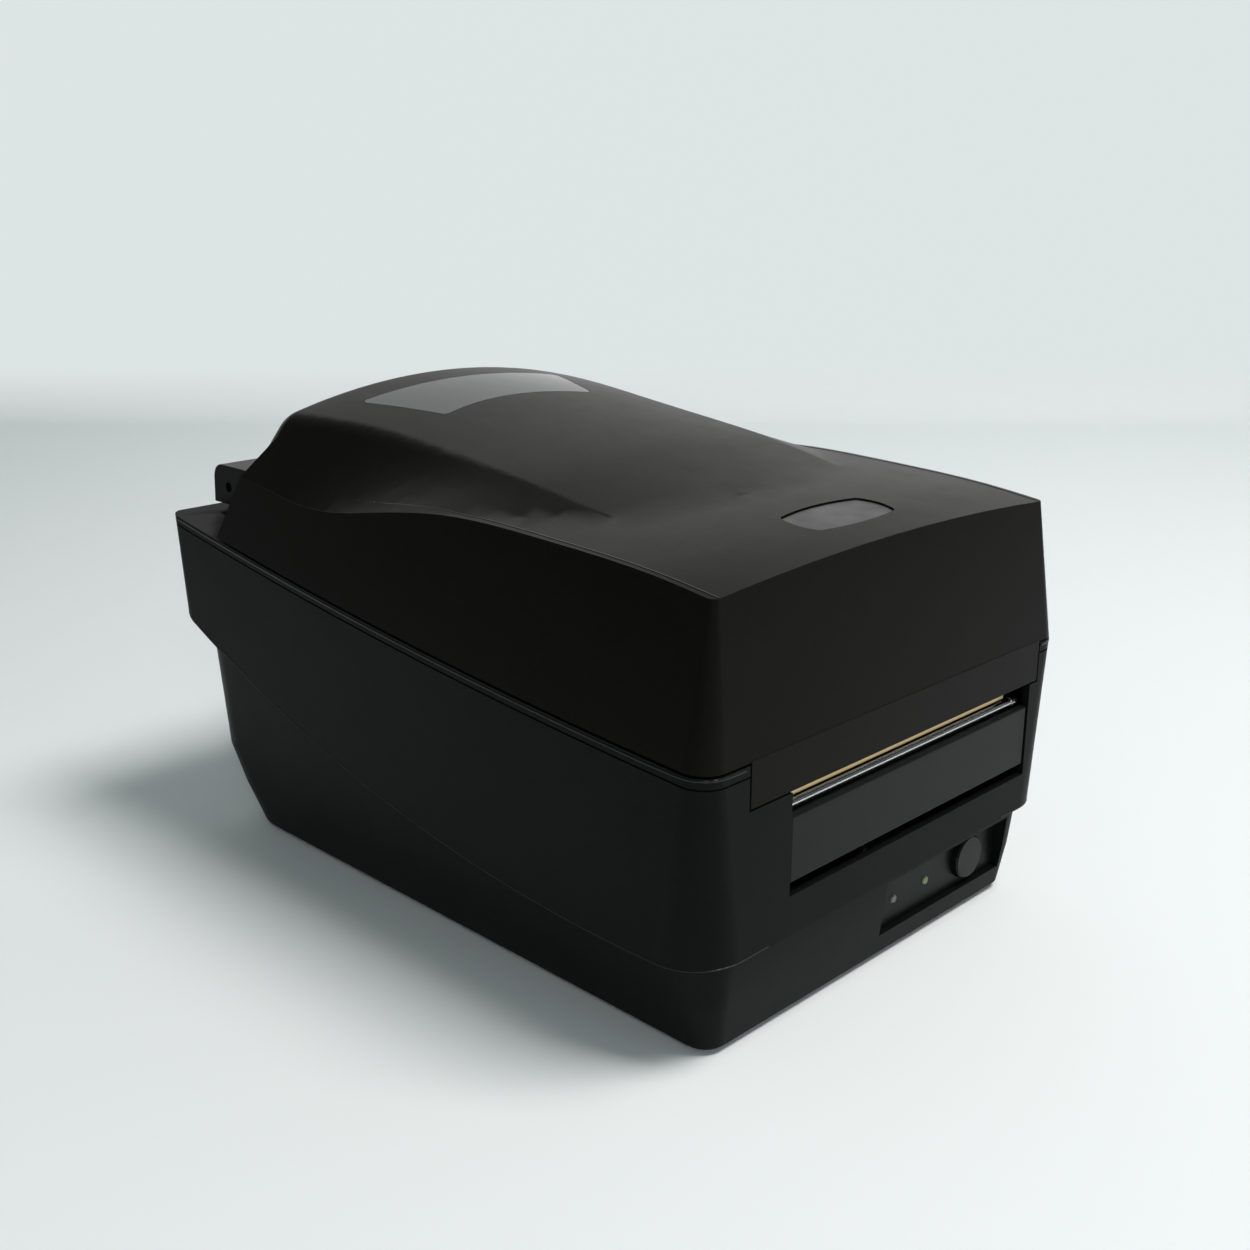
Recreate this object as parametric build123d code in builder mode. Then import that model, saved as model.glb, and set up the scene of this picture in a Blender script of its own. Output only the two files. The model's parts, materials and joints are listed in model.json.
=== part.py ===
from build123d import *
import math
import os

# Desktop barcode printer with a hinged top cover.
# Millimetres. Origin at the middle of the footprint, on the floor.
# +Z is up, the label exit faces -Y, the cover hinge runs along X at the rear.

os.makedirs("parts", exist_ok=True)

# Overall size
body_width = 190.0
body_length = 280.0
body_height = 178.0
half_width = body_width / 2
front_y = -body_length / 2
rear_y = body_length / 2

# Walls and clearances
lid_wall = 2.6
cabinet_wall = 2.8
tray_wall = 2.5
rim_gap = 0.8
seat_gap = 0.15
slide_gap = 0.3
running = 0.05

# Side-view curves as (y, z): the rim between lid and cabinet, and the skirt's swept lower edge
rim_line = ((front_y, 96.2), (0.0, 107.4), (rear_y, 127.0))
skirt_line = ((front_y, 34.4), (0.0, 43.5), (rear_y, 89.1))
tray_overlap = 5.0
lip_height = 3.0

# Lid form: drafts, deck and hump
lid_side_draft = 0.18
lid_front_draft = 0.11
lid_corner_levels = ((80.0, 11.3), (156.0, 1.0), (190.0, 1.0))
deck_rise = 3.6
deck_half = 98.0
deck_edge = 87.0
deck_rows = (
    (-150, 144.2), (-120, 147.7), (-90, 150.0), (-55, 151.2), (-20, 150.8),
    (0, 148.6), (20, 145.4), (45, 142.2), (70, 143.6), (105, 147.2), (145, 148.0),
)
# y, crown height, half-width of the ridge, crown radius, slope of the flank
hump_rows = (
    (-92, 151.4, 57.0, 525.0, 0.24), (-78, 154.2, 57.0, 525.0, 0.24), (-65, 156.2, 57.5, 580.0, 0.24),
    (-52, 158.3, 58.5, 600.0, 0.24), (-34, 161.6, 59.5, 560.0, 0.30), (-15, 164.5, 60.0, 510.0, 0.40),
    (5, 167.2, 61.0, 455.0, 0.58), (27, 170.2, 62.5, 400.0, 0.83), (49, 173.3, 65.0, 343.0, 1.05),
    (72, 176.2, 69.0, 290.0, 1.19), (95, body_height, 72.5, 262.0, 1.22), (118, 178.2, 72.5, 262.0, 1.22),
)
ridge_radius = 14.0
solid_floor = 60.0
far_side = 100.0

# Rear of the lid
lid_back_y = 95.0
tail_half = 78.0
tail_top = 145.0
tail_back = 134.0
tail_bottom = 129.6
tail_round = 6.0
haunch = ((109.0, 119.0), (95.0, 147.0))
rear_round = 7.0

# Lid hinge
hinge_y = 124.0
hinge_z = 136.5
pin_radius = 2.0
knuckle_radius = 8.4
knuckle_from = 46.5
knuckle_to = 57.5
knuckle_gap = 0.5
pocket_radius = 13.5
pocket_shell = 2.5
rib_width = 5.0
rib_front = 112.0
rear_deck_y = 107.0

# Front face
tongue = (-74.6, 81.6)
tongue_bottom = 82.5
tongue_gap = 0.7
exit_x = (-55.5, 77.5)
exit_z = (47.8, 83.2)
plate_z = (51.8, 73.8)

# Window and badge
window_rear = (50.2, 74.7)
window_front = (36.9, 38.9)
window_front_bow = 5.6
window_rear_bow = 0.8
badge_centre_y = -111.0
badge_half = (22.0, 10.0)
badge_bow = 2.2
badge_depth = 1.4
badge_sink = 0.5
trim_gap = 0.3

# Cabinet corners, as (z, radius)
cabinet_corners = ((30.0, 18.0), (130.0, 4.5))
groove_drop = 3.2
groove_size = 0.6

# Tray sections: z, half-width, front y, rear y, front corner radius, rear corner radius
tray_rows = (
    (1.6, 82.3, -131.5, 123.0, 7.0, 24.0),
    (2.6, 83.5, -132.6, 124.3, 8.0, 25.0),
    (18.0, 87.3, -135.0, 130.0, 11.0, 25.0),
    (34.0, 90.2, -136.6, 134.0, 14.0, 24.0),
    (100.0, 92.0, -137.0, 137.0, 16.0, 20.0),
)
tray_bottom = tray_rows[0][0]
floor_top = tray_bottom + tray_wall

# Control panel in the front of the tray
panel_x = (2.0, 76.0)
panel_z = (9.7, 30.0)
panel_y = -130.2
panel_wall = 2.4
panel_sheet = 0.8
button_x = 56.5
button_z = 20.0
button_radius = 8.0
button_reach = 3.4
button_travel = 1.2
lamp_spots = ((13.3, 18.5), (32.2, 18.7))
lamp_radius = 1.6

# Rear connector panel
socket_panel_x = (-62.0, 62.0)
socket_panel_z = (16.0, 58.0)
socket_panel_y = 127.0

# Chassis plates
plate_thickness = 2.0
plate_left = -54.0
plate_right = 68.0
path_centre = (plate_left + plate_right) / 2

# Platen and its drive
platen_y = -124.0
platen_z = 73.0
platen_radius = 8.0
shaft_radius = 3.0
roller_x = (-50.0, 64.0)
gear_x = (-65.5, -59.5)
drive_gear_x = (-73.0, -67.0)
gear_gap = 0.3
tooth_height = 1.8
platen_gear_radius = 12.5
idler_big_radius = 18.0
idler_small_radius = 8.0
pinion_radius = 6.0
motor_y = -90.0
motor_z = 44.0
motor_size = 42.0
motor_length = 34.0

# Print module
module_pivot_y = -8.0
module_pivot_z = 112.0
module_gap = 1.0
cheek = 2.5
cheek_left = plate_left + module_gap
cheek_right = plate_right - module_gap
takeup_y = -92.0
supply_y = -38.0
ribbon_z = 124.0
latch_y = -106.0
latch_z = 112.0
head_bottom = platen_z + platen_radius + slide_gap
head_top = 90.0
beam_bottom = 92.6
spring_top = 98.6
head_spring_x = (-22.0, 36.0)

# Media bay
bay_y = 46.0
bay_z = 104.0
bay_radius = 60.0
bay_floor_z = 66.0
liner_wall = 2.5
liner_drop = 4.0
media_rod_radius = 6.0
media_gap = 0.1
ramp_end = (-114.4, 78.0)
guide_y = (-84.0, -60.0)
guide_x = (-47.0, 61.0)
sensor_y = (-104.0, -94.0)

# Feet
foot_spots = ((-68.0, -112.0), (68.0, -112.0), (-68.0, 98.0), (68.0, 98.0))
foot_radius = 8.0
foot_height = 2.6

# Places shared by several sub-parts
panel_posts = ((8.0, 12.0), (70.0, 29.0))
control_board_y = -121.0
board_thickness = 1.6
button_back = -126.2
foot_names = ("foot_front_left", "foot_front_right", "foot_rear_left", "foot_rear_right")
tray_screw_spots = ((-74.0, -70.0), (76.0, -70.0), (-74.0, 62.0), (76.0, 62.0))
tray_post_top = 12.0
board_posts = ((-44.0, 12.0), (58.0, 12.0), (-44.0, 104.0), (58.0, 104.0))
board_z = 12.0
chassis_screw_spots = ((-48.0, -84.0), (-48.0, -24.0), (62.0, -84.0), (62.0, -24.0))
socket_names = ("switch_frame", "power_jack", "usb_port", "serial_port", "parallel_port")
sockets = (
    (46.0, 26.0, 21.0, 14.0), (20.0, 26.0, 12.0, 11.0), (-6.0, 26.0, 13.0, 12.0),
    (40.0, 47.0, 31.0, 12.0), (-16.0, 47.0, 54.0, 12.0),
)
port_board_y = 112.0
plate_outline = (
    (-108.0, floor_top), (-108.0, 38.0), (-131.5, 50.0), (-131.5, 86.0), (-100.0, 92.0),
    (-30.0, 98.0), (-22.0, 122.0), (-2.0, 122.0), (0.0, 118.0), (0.0, floor_top),
)
cheek_outline = (
    (-130.0, 82.0), (-130.0, 104.0), (-112.0, 137.0), (-88.0, 141.0), (-30.0, 141.0),
    (-6.0, 124.0), (1.0, 116.0), (0.0, 105.0), (-60.0, 93.0), (-112.0, 84.5),
)
bush_radius = 5.0
bracket_y = -133.6
bracket_z = (50.5, 66.0)
bar_radius = 1.5
bar_z = 75.4
idler_pin_radius = 2.5
head_pin_x = (-42.0, 54.0)
spindle_x = (cheek_left + cheek + 0.3, cheek_right - cheek - 0.3)


def block(x0, x1, y0, y1, z0, z1, mode=Mode.ADD):
    """Box between two x, two y and two z positions."""
    with Locations(((x0 + x1) / 2, (y0 + y1) / 2, (z0 + z1) / 2)):
        Box(x1 - x0, y1 - y0, z1 - z0, mode=mode)


def rod_x(x0, x1, y, z, radius, mode=Mode.ADD):
    """Cylinder along X."""
    with Locations(Location(((x0 + x1) / 2, y, z), (0, 90, 0))):
        Cylinder(radius, x1 - x0, mode=mode)


def rod_y(x, y0, y1, z, radius, mode=Mode.ADD):
    """Cylinder along Y."""
    with Locations(Location((x, (y0 + y1) / 2, z), (90, 0, 0))):
        Cylinder(radius, y1 - y0, mode=mode)


def rod_z(x, y, z0, z1, radius, mode=Mode.ADD):
    """Cylinder along Z."""
    with Locations((x, y, (z0 + z1) / 2)):
        Cylinder(radius, z1 - z0, mode=mode)


def side_profile(points, x0, x1, mode=Mode.ADD, radius=0.0):
    """Side-view outline of (y, z) points, extruded between two x positions."""
    with BuildSketch(Plane.YZ.offset(x0)) as outline:
        with BuildLine():
            Polyline(*points, close=True)
        make_face()
        if radius:
            fillet(outline.vertices(), radius)
    extrude(outline.sketch, amount=x1 - x0, mode=mode)


def under_arc(line, lift, bottom, half=far_side):
    """Everything below a side-view curve lifted by a distance, down to a level."""
    (ya, za), (yb, zb), (yc, zc) = line
    beyond = 20.0
    with BuildPart() as solid:
        with BuildSketch(Plane.YZ.offset(-half)):
            with BuildLine():
                ThreePointArc((ya, za + lift), (yb, zb + lift), (yc, zc + lift))
                Polyline(
                    (yc, zc + lift), (yc + beyond, zc + lift), (yc + beyond, bottom),
                    (ya - beyond, bottom), (ya - beyond, za + lift), (ya, za + lift),
                )
            make_face()
        extrude(amount=2 * half)
    return solid.part


def lid_plan(z, radius, inset):
    """Plan outline of the drafted lid at one height."""
    rise = z - rim_line[0][1]
    front = front_y + lid_front_draft * rise + inset
    back = rear_y + 10
    halves = [half_width + lid_side_draft * (rim_z - z) - inset for _, rim_z in rim_line]
    with BuildSketch(Plane.XY.offset(z)) as plan:
        with BuildLine():
            Line((-halves[0], front), (halves[0], front))
            ThreePointArc((halves[0], front), (halves[1], 0), (halves[2], back))
            Line((halves[2], back), (-halves[2], back))
            ThreePointArc((-halves[2], back), (-halves[1], 0), (-halves[0], front))
        make_face()
        fillet(plan.vertices().group_by(Axis.Y)[0], max(radius - inset, 0.5))
    return plan.sketch


def lid_sides(inset):
    """Drafted side and front faces of the lid, as a tall solid."""
    with BuildPart() as solid:
        for (z0, r0), (z1, r1) in zip(lid_corner_levels, lid_corner_levels[1:]):
            loft([lid_plan(z0, r0, inset), lid_plan(z1, r1, inset)], ruled=True)
    return solid.part


def lid_deck(inset):
    """Arched deck of the lid, down to a level inside the cabinet."""
    sections = []
    for y, height in deck_rows:
        crown = height - inset + deck_rise
        edge = crown - deck_rise * (deck_half / deck_edge) ** 2
        with BuildSketch(Plane.XZ.offset(-y)) as section:
            with BuildLine():
                ThreePointArc((-deck_half, edge), (0, crown), (deck_half, edge))
                Polyline(
                    (deck_half, edge), (deck_half, solid_floor),
                    (-deck_half, solid_floor), (-deck_half, edge),
                )
            make_face()
        sections.append(section.sketch)
    with BuildPart() as solid:
        loft(sections)
    return solid.part


def lid_hump(inset):
    """Raised middle of the lid that makes room for the media roll."""
    sections = []
    for y, height, ridge, crown_radius, slope in hump_rows:
        crown = height - inset
        half = ridge - 0.6 * inset
        shoulder = crown - half * half / (2 * crown_radius)
        edge = shoulder - slope * (far_side - half)
        with BuildSketch(Plane.XZ.offset(-y)) as section:
            with BuildLine():
                ThreePointArc((-half, shoulder), (0, crown), (half, shoulder))
                Polyline(
                    (half, shoulder), (far_side, edge), (far_side, solid_floor),
                    (-far_side, solid_floor), (-far_side, edge), (-half, shoulder),
                )
            make_face()
            fillet([v for v in section.vertices() if abs(v.Y - shoulder) < 0.01], ridge_radius)
        sections.append(section.sketch)
    with BuildPart() as solid:
        loft(sections)
    return solid.part


def lid_rear_cut(inset):
    """What lies behind the lid: above the tail in the middle, behind the haunches outside."""
    above = 200.0
    behind = rear_y + 20
    (low_y, low_z), (high_y, high_z) = haunch
    shift = inset
    with BuildPart() as solid:
        for side in (-1, 1):
            inner, outer = side * (tail_half - inset), side * (far_side + 10)
            points = (
                (low_y - shift + 4, low_z - 8), (low_y - shift, low_z), (high_y - shift, high_z),
                (high_y - shift, above), (behind, above), (behind, low_z - 8),
            )
            side_profile(points, min(inner, outer), max(inner, outer))
        back = lid_back_y - inset
        top = tail_top - inset
        end = tail_back - inset
        curve = max(tail_round - inset, 1.0)
        with BuildSketch(Plane.YZ.offset(-tail_half - 1)):
            with BuildLine():
                Line((back, above), (back, top))
                Line((back, top), (end - curve, top))
                RadiusArc((end - curve, top), (end, top - curve), curve)
                Line((end, top - curve), (end + 0.7, tail_bottom))
                Polyline(
                    (end + 0.7, tail_bottom), (end + 0.7, solid_floor), (behind, solid_floor),
                    (behind, above), (back, above),
                )
            make_face()
        extrude(amount=2 * tail_half + 2)
    return solid.part


def lid_form(inset):
    """Closed form of the lid, shrunk inwards by a distance."""
    deck = lid_deck(inset)
    hump = lid_hump(inset)
    cut = lid_rear_cut(inset)
    sides = lid_sides(inset)
    with BuildPart() as solid:
        add(deck)
        add(hump, clean=False)
        add(sides, mode=Mode.INTERSECT, clean=False)
        add(cut, mode=Mode.SUBTRACT, clean=False)
        in_back = solid.edges().filter_by_position(Axis.Y, lid_back_y - inset - 0.1, lid_back_y - inset + 0.1)
        fillet(in_back.filter_by(lambda edge: edge.center().Z > haunch[1][1] + 0.3), rear_round - inset)
    return solid.part


def window_prism(inset):
    """Upright prism through the window outline."""
    (rx, ry), (fx, fy) = window_rear, window_front
    with BuildPart() as solid:
        with BuildSketch(Plane.XY.offset(100)) as outline:
            with BuildLine():
                ThreePointArc((-rx, ry), (0, ry + window_rear_bow), (rx, ry))
                Line((rx, ry), (fx, fy))
                ThreePointArc((fx, fy), (0, fy + window_front_bow), (-fx, fy))
                Line((-fx, fy), (-rx, ry))
            make_face()
            fillet(outline.vertices(), 3.0)
            if inset:
                offset(amount=-inset, mode=Mode.REPLACE)
        extrude(amount=100)
    return solid.part


def badge_prism(inset):
    """Upright prism through the badge outline, with bowed edges."""
    hx, hy = badge_half[0] - inset, badge_half[1] - inset
    cx, cy = hx - badge_bow, hy - badge_bow
    with BuildPart() as solid:
        with BuildSketch(Plane((0, badge_centre_y, 100))) as outline:
            with BuildLine():
                ThreePointArc((-cx, -cy), (0, -hy), (cx, -cy))
                ThreePointArc((cx, -cy), (hx, 0), (cx, cy))
                ThreePointArc((cx, cy), (0, hy), (-cx, cy))
                ThreePointArc((-cx, cy), (-hx, 0), (-cx, -cy))
            make_face()
            fillet(outline.vertices(), 2.0)
        extrude(amount=80)
    return solid.part


def cabinet_prism(inset):
    """Upright body of the cabinet with corners that tighten towards the rim."""
    sections = []
    for z, radius in cabinet_corners:
        with BuildSketch(Plane.XY.offset(z)) as section:
            width, length = body_width - 2 * inset, body_length - 2 * inset
            RectangleRounded(width, length, max(radius - inset, 1.0))
        sections.append(section.sketch)
    with BuildPart() as solid:
        loft(sections, ruled=True)
    return solid.part


def tray_form(inset, bottom_lift=0.0):
    """Tapering body of the tray, shrunk inwards by a distance."""
    sections = []
    rows = tray_rows if bottom_lift == 0.0 else tray_rows[1:]
    for z, half, front, rear, front_radius, rear_radius in rows:
        level = tray_bottom + bottom_lift if z == rows[0][0] else z
        with BuildSketch(Plane.XY.offset(level)) as section:
            with Locations((0, (front + rear) / 2)):
                Rectangle(2 * (half - inset), rear - front - 2 * inset)
            fillet(section.vertices().group_by(Axis.Y)[0], front_radius - inset)
            fillet(section.vertices().group_by(Axis.Y)[-1], rear_radius - inset)
        sections.append(section.sketch)
    with BuildPart() as solid:
        for lower, upper in zip(sections, sections[1:]):
            loft([lower, upper], ruled=True)
    return solid.part


def lid_outline_cut():
    """Everything at or below the lid's lower edge."""
    rim = under_arc(rim_line, rim_gap, 20.0)
    with BuildPart() as solid:
        add(rim)
        block(-far_side, far_side, hinge_y - pocket_radius, rear_y + 10, 60, tail_bottom)
    return solid.part


def spring(x, y, z0, length, radius, wire, turns, axis_y=False):
    """Compression spring from a start point, along Z or along Y."""
    helix = Helix(pitch=(length - 2 * wire) / turns, height=length - 2 * wire, radius=radius)
    with BuildPart() as coil:
        with BuildSketch(Plane(origin=helix @ 0, z_dir=helix % 0)) as wire_end:
            RegularPolygon(wire, 5)
        sweep(wire_end.sketch, path=helix, is_frenet=True)
    turn = (-90, 0, 0) if axis_y else (0, 0, 0)
    start = (x, y + wire, z0) if axis_y else (x, y, z0 + wire)
    return Location(start, turn) * coil.part


def gear(x0, x1, y, z, outer, teeth, bore):
    """Spur gear along X with plain sloping teeth."""
    root = outer - tooth_height
    points = []
    for tooth in range(teeth):
        for share, radius in ((0.0, root), (0.25, root), (0.4, outer), (0.85, outer)):
            angle = 2 * math.pi * (tooth + share) / teeth
            points.append((radius * math.cos(angle), radius * math.sin(angle)))
    with BuildPart() as wheel:
        with BuildSketch(Plane(origin=(x0, y, z), x_dir=(0, 1, 0), z_dir=(1, 0, 0))) as face:
            with BuildLine():
                Polyline(*points, close=True)
            make_face()
            Circle(bore, mode=Mode.SUBTRACT)
        extrude(face.sketch, amount=x1 - x0)
    return wheel.part


def bay_region(x0, x1, grow):
    """Side-view region of the media bay, open at the top, between two x positions."""
    (end_y, end_z) = ramp_end
    front = bay_y - math.sqrt(bay_radius ** 2 - (bay_z - bay_floor_z) ** 2)
    low = math.radians(-70)
    mid = (bay_y + bay_radius * math.cos(low), bay_z + bay_radius * math.sin(low))
    with BuildPart() as solid:
        with BuildSketch(Plane.YZ.offset(x0)) as outline:
            with BuildLine():
                Line((bay_y + bay_radius, 180), (bay_y + bay_radius, bay_z))
                ThreePointArc((bay_y + bay_radius, bay_z), mid, (front, bay_floor_z))
                Polyline((front, bay_floor_z), (end_y, end_z), (end_y, 180), (bay_y + bay_radius, 180))
            make_face()
            if grow:
                offset(amount=grow, mode=Mode.REPLACE)
        extrude(outline.sketch, amount=x1 - x0)
    return solid.part


def ramp_height(y):
    """Height of the media path floor at a depth."""
    front = bay_y - math.sqrt(bay_radius ** 2 - (bay_z - bay_floor_z) ** 2)
    return bay_floor_z + (ramp_end[1] - bay_floor_z) * (front - y) / (front - ramp_end[0])


def idler_place():
    """Axis of the idler gear, meshing with both the platen gear and the motor pinion."""
    first = platen_gear_radius + idler_small_radius + gear_gap
    second = idler_big_radius + pinion_radius + gear_gap
    dy, dz = motor_y - platen_y, motor_z - platen_z
    span = math.hypot(dy, dz)
    along = (first * first - second * second + span * span) / (2 * span)
    aside = math.sqrt(first * first - along * along)
    return platen_y + (along * dy - aside * dz) / span, platen_z + (along * dz + aside * dy) / span


idler_y, idler_z = idler_place()

# Shared solids
form_outer = lid_form(0.0)
form_inner = lid_form(lid_wall)
edge_cut = lid_outline_cut()
below_rim = under_arc(rim_line, 0.0, 20.0)
above_deck = under_arc(rim_line, -cabinet_wall, 20.0)
below_liner = under_arc(rim_line, -liner_drop, 20.0)
under_liner = under_arc(rim_line, -liner_drop - liner_wall, 20.0)
below_skirt = under_arc(skirt_line, 0.0, 0.0)
below_lip = under_arc(skirt_line, lip_height, 0.0)
below_tray = under_arc(skirt_line, tray_overlap, 0.0)
window_hole = window_prism(0.0)
badge_hole = badge_prism(0.0)

# Lid
knuckle_spans = ((-knuckle_to, -knuckle_from), (knuckle_from, knuckle_to))
knuckle_ends = [side * value for side in (-1, 1) for value in (knuckle_from, knuckle_to)]
badge_under = lid_deck(badge_depth)
badge_top = lid_deck(badge_sink)

with BuildPart() as lid_ribs:
    for end in knuckle_ends:
        outward = 1 if abs(end) == knuckle_to else -1
        face = end + math.copysign(knuckle_gap * outward, end)
        far = face + math.copysign(rib_width * outward, end)
        side_profile(
            (
                (rib_front, tail_top - 2), (tail_back - 2, tail_top - 2),
                (tail_back - 2, tail_bottom), (rib_front + 5, tail_bottom),
            ),
            min(face, far), max(face, far),
        )

with BuildPart() as lid:
    add(form_outer)
    add(form_inner, mode=Mode.SUBTRACT, clean=False)
    add(edge_cut, mode=Mode.SUBTRACT, clean=False)
    block(tongue[0], tongue[1], front_y, front_y + lid_wall, tongue_bottom, rim_line[0][1] + rim_gap + 0.4)
    add(lid_ribs.part)
    for x0, x1 in knuckle_spans:
        block(x0 - knuckle_gap, x1 + knuckle_gap, hinge_y - knuckle_radius - knuckle_gap, rear_y, 100, 160,
              mode=Mode.SUBTRACT)
    rod_x(-tail_half, tail_half, hinge_y, hinge_z, pin_radius + running, mode=Mode.SUBTRACT)
    add(window_hole, mode=Mode.SUBTRACT)
    add(badge_hole - badge_under, mode=Mode.SUBTRACT)
lid.part.label = "lid"
export_step(lid.part, "parts/lid.step")

with BuildPart() as lid_window:
    add(form_outer)
    add(form_inner, mode=Mode.SUBTRACT, clean=False)
    add(window_prism(trim_gap), mode=Mode.INTERSECT)
lid_window.part.label = "lid_window"
export_step(lid_window.part, "parts/lid_window.step")

with BuildPart() as badge_plate:
    add(badge_top)
    add(badge_under, mode=Mode.SUBTRACT)
    add(badge_prism(trim_gap), mode=Mode.INTERSECT)
badge_plate.part.label = "badge_plate"
export_step(badge_plate.part, "parts/badge_plate.step")

# Cabinet
cabinet_inner = cabinet_prism(cabinet_wall)
tray_clearance = tray_form(-seat_gap)
groove_band = (
    (cabinet_prism(-1.0) - cabinet_prism(groove_size))
    & (under_arc(rim_line, -groove_drop, 20.0) - under_arc(rim_line, -groove_drop - groove_size, 20.0))
)

with BuildPart() as rear_deck:
    add(cabinet_prism(1.0))
    add(below_rim, mode=Mode.INTERSECT)
    add(above_deck, mode=Mode.SUBTRACT)
    block(-far_side, far_side, rear_deck_y, rear_y, 60, 140, mode=Mode.INTERSECT)

with BuildPart() as pocket_wall:
    rod_x(-tail_half - 3, tail_half + 3, hinge_y, hinge_z, pocket_radius + pocket_shell)
    add(below_rim, mode=Mode.INTERSECT)
    block(-far_side, far_side, rear_deck_y, rear_y - 1, 60, 140, mode=Mode.INTERSECT)

with BuildPart() as cabinet:
    add(cabinet_prism(0.0))
    add(below_rim, mode=Mode.INTERSECT)
    add(below_skirt, mode=Mode.SUBTRACT)
    add(cabinet_inner - below_lip, mode=Mode.SUBTRACT)
    add(tray_clearance, mode=Mode.SUBTRACT)
    add(groove_band, mode=Mode.SUBTRACT)
    block(exit_x[0], exit_x[1], front_y - 5, front_y + 5, exit_z[0], exit_z[1], mode=Mode.SUBTRACT)
    block(tongue[0] - tongue_gap, tongue[1] + tongue_gap, front_y - 5, front_y + 5,
          tongue_bottom - tongue_gap, 110, mode=Mode.SUBTRACT)
    add(rear_deck.part)
    add(pocket_wall.part)
    rod_x(-tail_half - 0.6, tail_half + 0.6, hinge_y, hinge_z, pocket_radius, mode=Mode.SUBTRACT)
    for x0, x1 in knuckle_spans:
        block(x0, x1, hinge_y - knuckle_radius, hinge_y + knuckle_radius, 121.2, hinge_z)
        rod_x(x0, x1, hinge_y, hinge_z, knuckle_radius)
    rod_x(-tail_half, tail_half, hinge_y, hinge_z, pin_radius + running, mode=Mode.SUBTRACT)
cabinet.part.label = "cabinet"
export_step(cabinet.part, "parts/cabinet.step")

with BuildPart() as hinge_pins:
    for side in (-1, 1):
        middle = side * (knuckle_from + knuckle_to) / 2
        rod_x(middle - 10, middle + 10, hinge_y, hinge_z, pin_radius)
hinge_pins.part.label = "hinge_pins"
export_step(hinge_pins.part, "parts/hinge_pins.step")

# Tray
with BuildPart() as tray_cavity:
    add(tray_form(tray_wall, tray_wall))
    block(panel_x[0] - panel_wall, panel_x[1] + panel_wall, front_y, panel_y + panel_wall,
          panel_z[0] - panel_wall, panel_z[1] + panel_wall, mode=Mode.SUBTRACT)
    block(socket_panel_x[0] - tray_wall, socket_panel_x[1] + tray_wall, socket_panel_y - tray_wall, rear_y,
          socket_panel_z[0] - tray_wall, socket_panel_z[1] + tray_wall, mode=Mode.SUBTRACT)

with BuildPart() as base_tray:
    add(tray_form(0.0))
    add(below_tray, mode=Mode.INTERSECT)
    add(tray_cavity.part, mode=Mode.SUBTRACT)
    block(panel_x[0], panel_x[1], front_y, panel_y, panel_z[0], panel_z[1], mode=Mode.SUBTRACT)
    rod_y(button_x, panel_y - 1, panel_y + panel_wall + 1, button_z, button_radius + trim_gap,
          mode=Mode.SUBTRACT)
    for x, z in lamp_spots:
        rod_y(x, panel_y - 1, panel_y + panel_wall + 1, z, lamp_radius + running, mode=Mode.SUBTRACT)
    for x, z in panel_posts:
        rod_y(x, panel_y + panel_wall, control_board_y, z, 2.5)
    block(*socket_panel_x, socket_panel_y, rear_y, *socket_panel_z, mode=Mode.SUBTRACT)
    for x, z, width, height in sockets:
        block(x - width / 2, x + width / 2, socket_panel_y - tray_wall - 1, socket_panel_y + 1,
              z - height / 2, z + height / 2, mode=Mode.SUBTRACT)
    for x, y in foot_spots:
        rod_z(x, y, 0, foot_height, foot_radius + 0.1, mode=Mode.SUBTRACT)
    for x, y in tray_screw_spots:
        rod_z(x, y, floor_top - 0.5, tray_post_top, 4.0)
        rod_z(x, y, 0, tray_bottom + 1.4, 3.6, mode=Mode.SUBTRACT)
        rod_z(x, y, tray_bottom, tray_post_top + 1, 1.6, mode=Mode.SUBTRACT)
    for x, y in board_posts:
        rod_z(x, y, floor_top - 0.5, board_z, 3.0)
    for x, y in chassis_screw_spots:
        rod_z(x, y, floor_top - 1.5, floor_top + 1, 1.45, mode=Mode.SUBTRACT)
base_tray.part.label = "base_tray"
export_step(base_tray.part, "parts/base_tray.step")

for name, (x, y) in zip(foot_names, foot_spots):
    with BuildPart() as foot:
        rod_z(x, y, 0, foot_height, foot_radius)
        chamfer(foot.faces().sort_by(Axis.Z)[0].edges(), 0.6)
    foot.part.label = name
    export_step(foot.part, f"parts/{name}.step")

with BuildPart() as tray_screws:
    for x, y in tray_screw_spots:
        rod_z(x, y, tray_bottom + 0.2, tray_bottom + 1.4, 3.2)
        rod_z(x, y, tray_bottom + 1.4, tray_post_top, 1.55)
        rod_z(x, y, tray_bottom, tray_bottom + 0.7, 1.2, mode=Mode.SUBTRACT)
tray_screws.part.label = "tray_screws"
export_step(tray_screws.part, "parts/tray_screws.step")

# Control panel
with BuildPart() as control_panel:
    block(panel_x[0] + trim_gap, panel_x[1] - trim_gap, panel_y - panel_sheet, panel_y,
          panel_z[0] + trim_gap, panel_z[1] - trim_gap)
    rod_y(button_x, panel_y - 2, panel_y + 1, button_z, button_radius + trim_gap, mode=Mode.SUBTRACT)
    for x, z in lamp_spots:
        rod_y(x, panel_y - 2, panel_y + 1, z, lamp_radius + running, mode=Mode.SUBTRACT)
control_panel.part.label = "control_panel"
export_step(control_panel.part, "parts/control_panel.step")

with BuildPart() as feed_button:
    rod_y(button_x, panel_y - button_reach, button_back, button_z, button_radius)
    rod_y(button_x, button_back - 1.2, button_back, button_z, button_radius + 1.6)
    chamfer(feed_button.faces().sort_by(Axis.Y)[0].edges(), 0.6)
feed_button.part.label = "feed_button"
export_step(feed_button.part, "parts/feed_button.step")

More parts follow.
